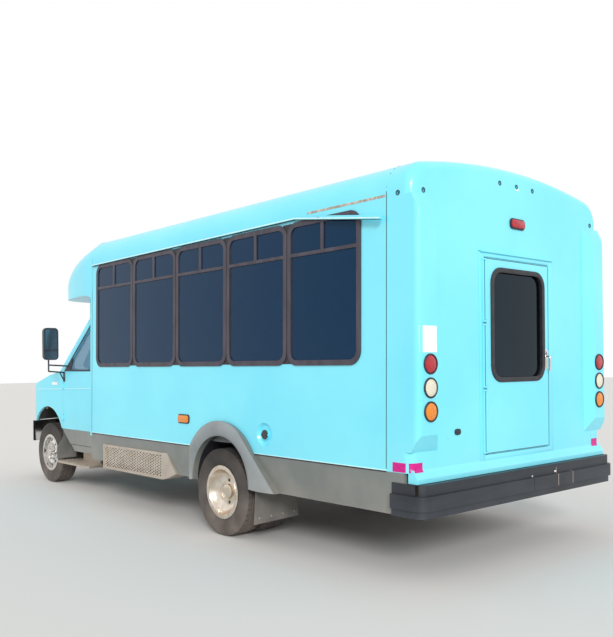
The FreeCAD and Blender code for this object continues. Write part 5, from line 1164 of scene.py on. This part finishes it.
# %% Drive shaft and exhaust
shaft = bmesh.new()
shaft_start = Vector((at(0.20), 0, 0.41))
along = Vector((at(2.90), 0, 0.60)) - shaft_start
length = along.length / MM
turned(shaft, ((0, 0), (0, 45), (50, 45), (70, 38), (length - 70, 38), (length - 50, 45), (length, 45),
               (length, 0)), shaft_start, along, 24)
make_piece("drive_shaft", shaft, cast_iron)
silencer = bmesh.new()
turned(silencer, ((0, 0), (20, 70), (40, 85), (560, 85), (580, 70), (600, 0)), (at(1.6), -0.60, 0.50),
       (1, 0, 0), 32)
make_piece("silencer", silencer, cast_iron)
exhaust_line = [(at(ahead), y, height) for ahead, y, height in (
    (2.9, -0.30, 0.60), (2.6, -0.46, 0.54), (2.2, -0.60, 0.50), (1.6, -0.60, 0.50), (1.1, -0.60, 0.50),
    (0.62, -0.58, 0.53), (0.35, -0.56, 0.66), (-0.35, -0.56, 0.66), (-0.65, -0.60, 0.50),
    (-1.55, -0.66, 0.46), (-1.98, -0.72, 0.44))]
pipe("exhaust_pipe", exhaust_line, 31 * MM, cast_iron)
print("drive shaft length", round(length), "mm")

# %% [markdown]
# Seats: each bench has two padded cushions and two padded backs on a steel frame with a grab rail.
# A pad starts as a cube cut into a fine grid. Each point is pulled on to a box with round edges,
# and the middle of its faces is swollen, as foam does under tight cloth.

# %% A pad
def pad(shape, place, normal, tall, width, height, thick, swell):
    """One cushion, its faces swollen by swell metres in the middle."""
    part = bmesh.new()
    bmesh.ops.create_cube(part, size=2.0)
    bmesh.ops.subdivide_edges(part, edges=part.edges[:], cuts=11, use_grid_fill=True)
    half = Vector((width, height, thick)) / 2
    edge = 0.46 * thick
    for vert in part.verts:
        share = vert.co.copy()
        point = share * half
        core = Vector([max(-half[k] + edge, min(half[k] - edge, point[k])) for k in range(3)])
        vert.co = core + (point - core).normalized() * edge
        bulge = math.cos(share.x * math.pi / 2) * math.cos(share.y * math.pi / 2)
        vert.co.z += math.copysign(swell * bulge, share.z) * abs(share.z)
    placed(shape, part, place, normal, tall)


def padded_seat(name, shape):
    """Finishes a cloth piece of one or two places, which stands for part of the CAD seats."""
    piece = make_piece(name, shape, seat_cloth, angle=math.radians(60))
    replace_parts(piece, "seats")

# %% Benches
seat_floor, seat_inner, seat_outer = 0.84, 0.26, 1.12
place_wide = (seat_outer - seat_inner) / 2
back_turn = math.atan2(0.09, 0.68)
back_normal = Vector((math.cos(back_turn), 0, math.sin(back_turn)))
back_up = Vector((-math.sin(back_turn), 0, math.cos(back_turn)))
bench_rows = [(-1.5 + 0.74 * k, side) for k in range(4) for side in (1, -1)] + [(1.45, 1)]
frames = bmesh.new()
for number, (ahead, side) in enumerate(bench_rows, 1):
    bench = bmesh.new()
    for share in (0.5, 1.5):
        y = side * (seat_inner + place_wide * share)
        pad(bench, (at(ahead + 0.235), y, seat_floor + 0.378), (0, 0, 1), (-1, 0, 0),
            place_wide - 6 * MM, 0.40, 0.088, 0.008)
        pad(bench, (at(ahead - 0.017), y, seat_floor + 0.71), back_normal, back_up,
            place_wide - 6 * MM, 0.60, 0.062, 0.008)
    padded_seat("bench_%d" % number, bench)
    low, high = sorted((side * seat_inner, side * seat_outer))
    for y in (low + 0.095, high - 0.095):
        block(frames, (at(ahead + 0.06), y - 15 * MM, seat_floor),
              (at(ahead + 0.11), y + 15 * MM, seat_floor + 0.335), 4 * MM)
    block(frames, (at(ahead + 0.03), low + 0.02, seat_floor + 0.318),
          (at(ahead + 0.42), high - 0.02, seat_floor + 0.334), 4 * MM)
    rail_line = [(at(ahead - 0.062) - back * MM, y, seat_floor + height) for back, y, height in (
        (0, low + 0.03, 0.985), (2, low + 0.042, 1.003), (2, high - 0.042, 1.003),
        (0, high - 0.03, 0.985))]
    pipe("bench_rail_%d" % number, rail_line, 10 * MM, black_plastic, smooth=False)
print("benches", len(bench_rows))

# %% Driver's seat and seat frames
driver = bmesh.new()
driver_ahead, driver_y, driver_low = 2.75, 0.50, 1.01
pad(driver, (at(driver_ahead + 0.26), driver_y, driver_low + 0.062), (0, 0, 1), (-1, 0, 0), 0.47, 0.42,
    0.112, 0.012)
pad(driver, (at(driver_ahead - 0.005), driver_y, driver_low + 0.38), back_normal, back_up, 0.47, 0.60,
    0.088, 0.012)
padded_seat("driver_seat_pad", driver)
block(frames, (at(driver_ahead + 0.07), driver_y - 0.16, driver_low - 0.25),
      (at(driver_ahead + 0.37), driver_y + 0.16, driver_low + 0.004), 12 * MM)
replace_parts(make_piece("seat_frames", frames, frame_enamel), "seats")
print("driver's cushion at", driver_low)

# %% [markdown]
# A pale floor that the camera sees as white, a plain world that does the same, and one soft sun
# from behind the camera. The world lights the bus evenly and the sun gives its shapes a side.

# %% Floor and light
floor_mesh = bpy.data.meshes.new("studio_floor")
floor_shape = bmesh.new()
bmesh.ops.create_grid(floor_shape, x_segments=1, y_segments=1, size=60.0)
floor_shape.to_mesh(floor_mesh)
floor_shape.free()
studio_floor = bpy.data.objects.new("studio_floor", floor_mesh)
bpy.context.scene.collection.objects.link(studio_floor)
floor_mesh.materials.append(begin("studio_floor", Roughness=0.9, Base_Color=linear("#E4E2DF"))[0])

world = bpy.data.worlds.new("studio")
bpy.context.scene.world = world
world.use_nodes = True
sky = world.node_tree
backdrop = sky.nodes["Background"]
backdrop.inputs["Color"].default_value = (1.0, 1.0, 1.0, 1.0)
ray = add(sky, "LightPath").outputs
seen = add(sky, "Math", {0: ray["Is Camera Ray"], 1: ray["Is Transmission Ray"]}, operation="MAXIMUM")
seen = add(sky, "Math", {0: seen.outputs[0], 1: ray["Is Glossy Ray"]}, operation="MAXIMUM")
fill_strength = 0.70
strength = add(sky, "MapRange", {"Value": seen.outputs[0], "To Min": fill_strength, "To Max": 1.0})
sky.links.new(strength.outputs["Result"], backdrop.inputs["Strength"])

sun_data = bpy.data.lights.new("soft_sun", "SUN")
sun_data.energy = 1.9
sun_data.angle = math.radians(16)
sun = bpy.data.objects.new("soft_sun", sun_data)
sun_direction = Vector((0.78, -0.57, -0.42))
sun.rotation_euler = sun_direction.to_track_quat("-Z", "Y").to_euler()
bpy.context.scene.collection.objects.link(sun)
print("sun", [round(v, 2) for v in sun_direction.normalized()])
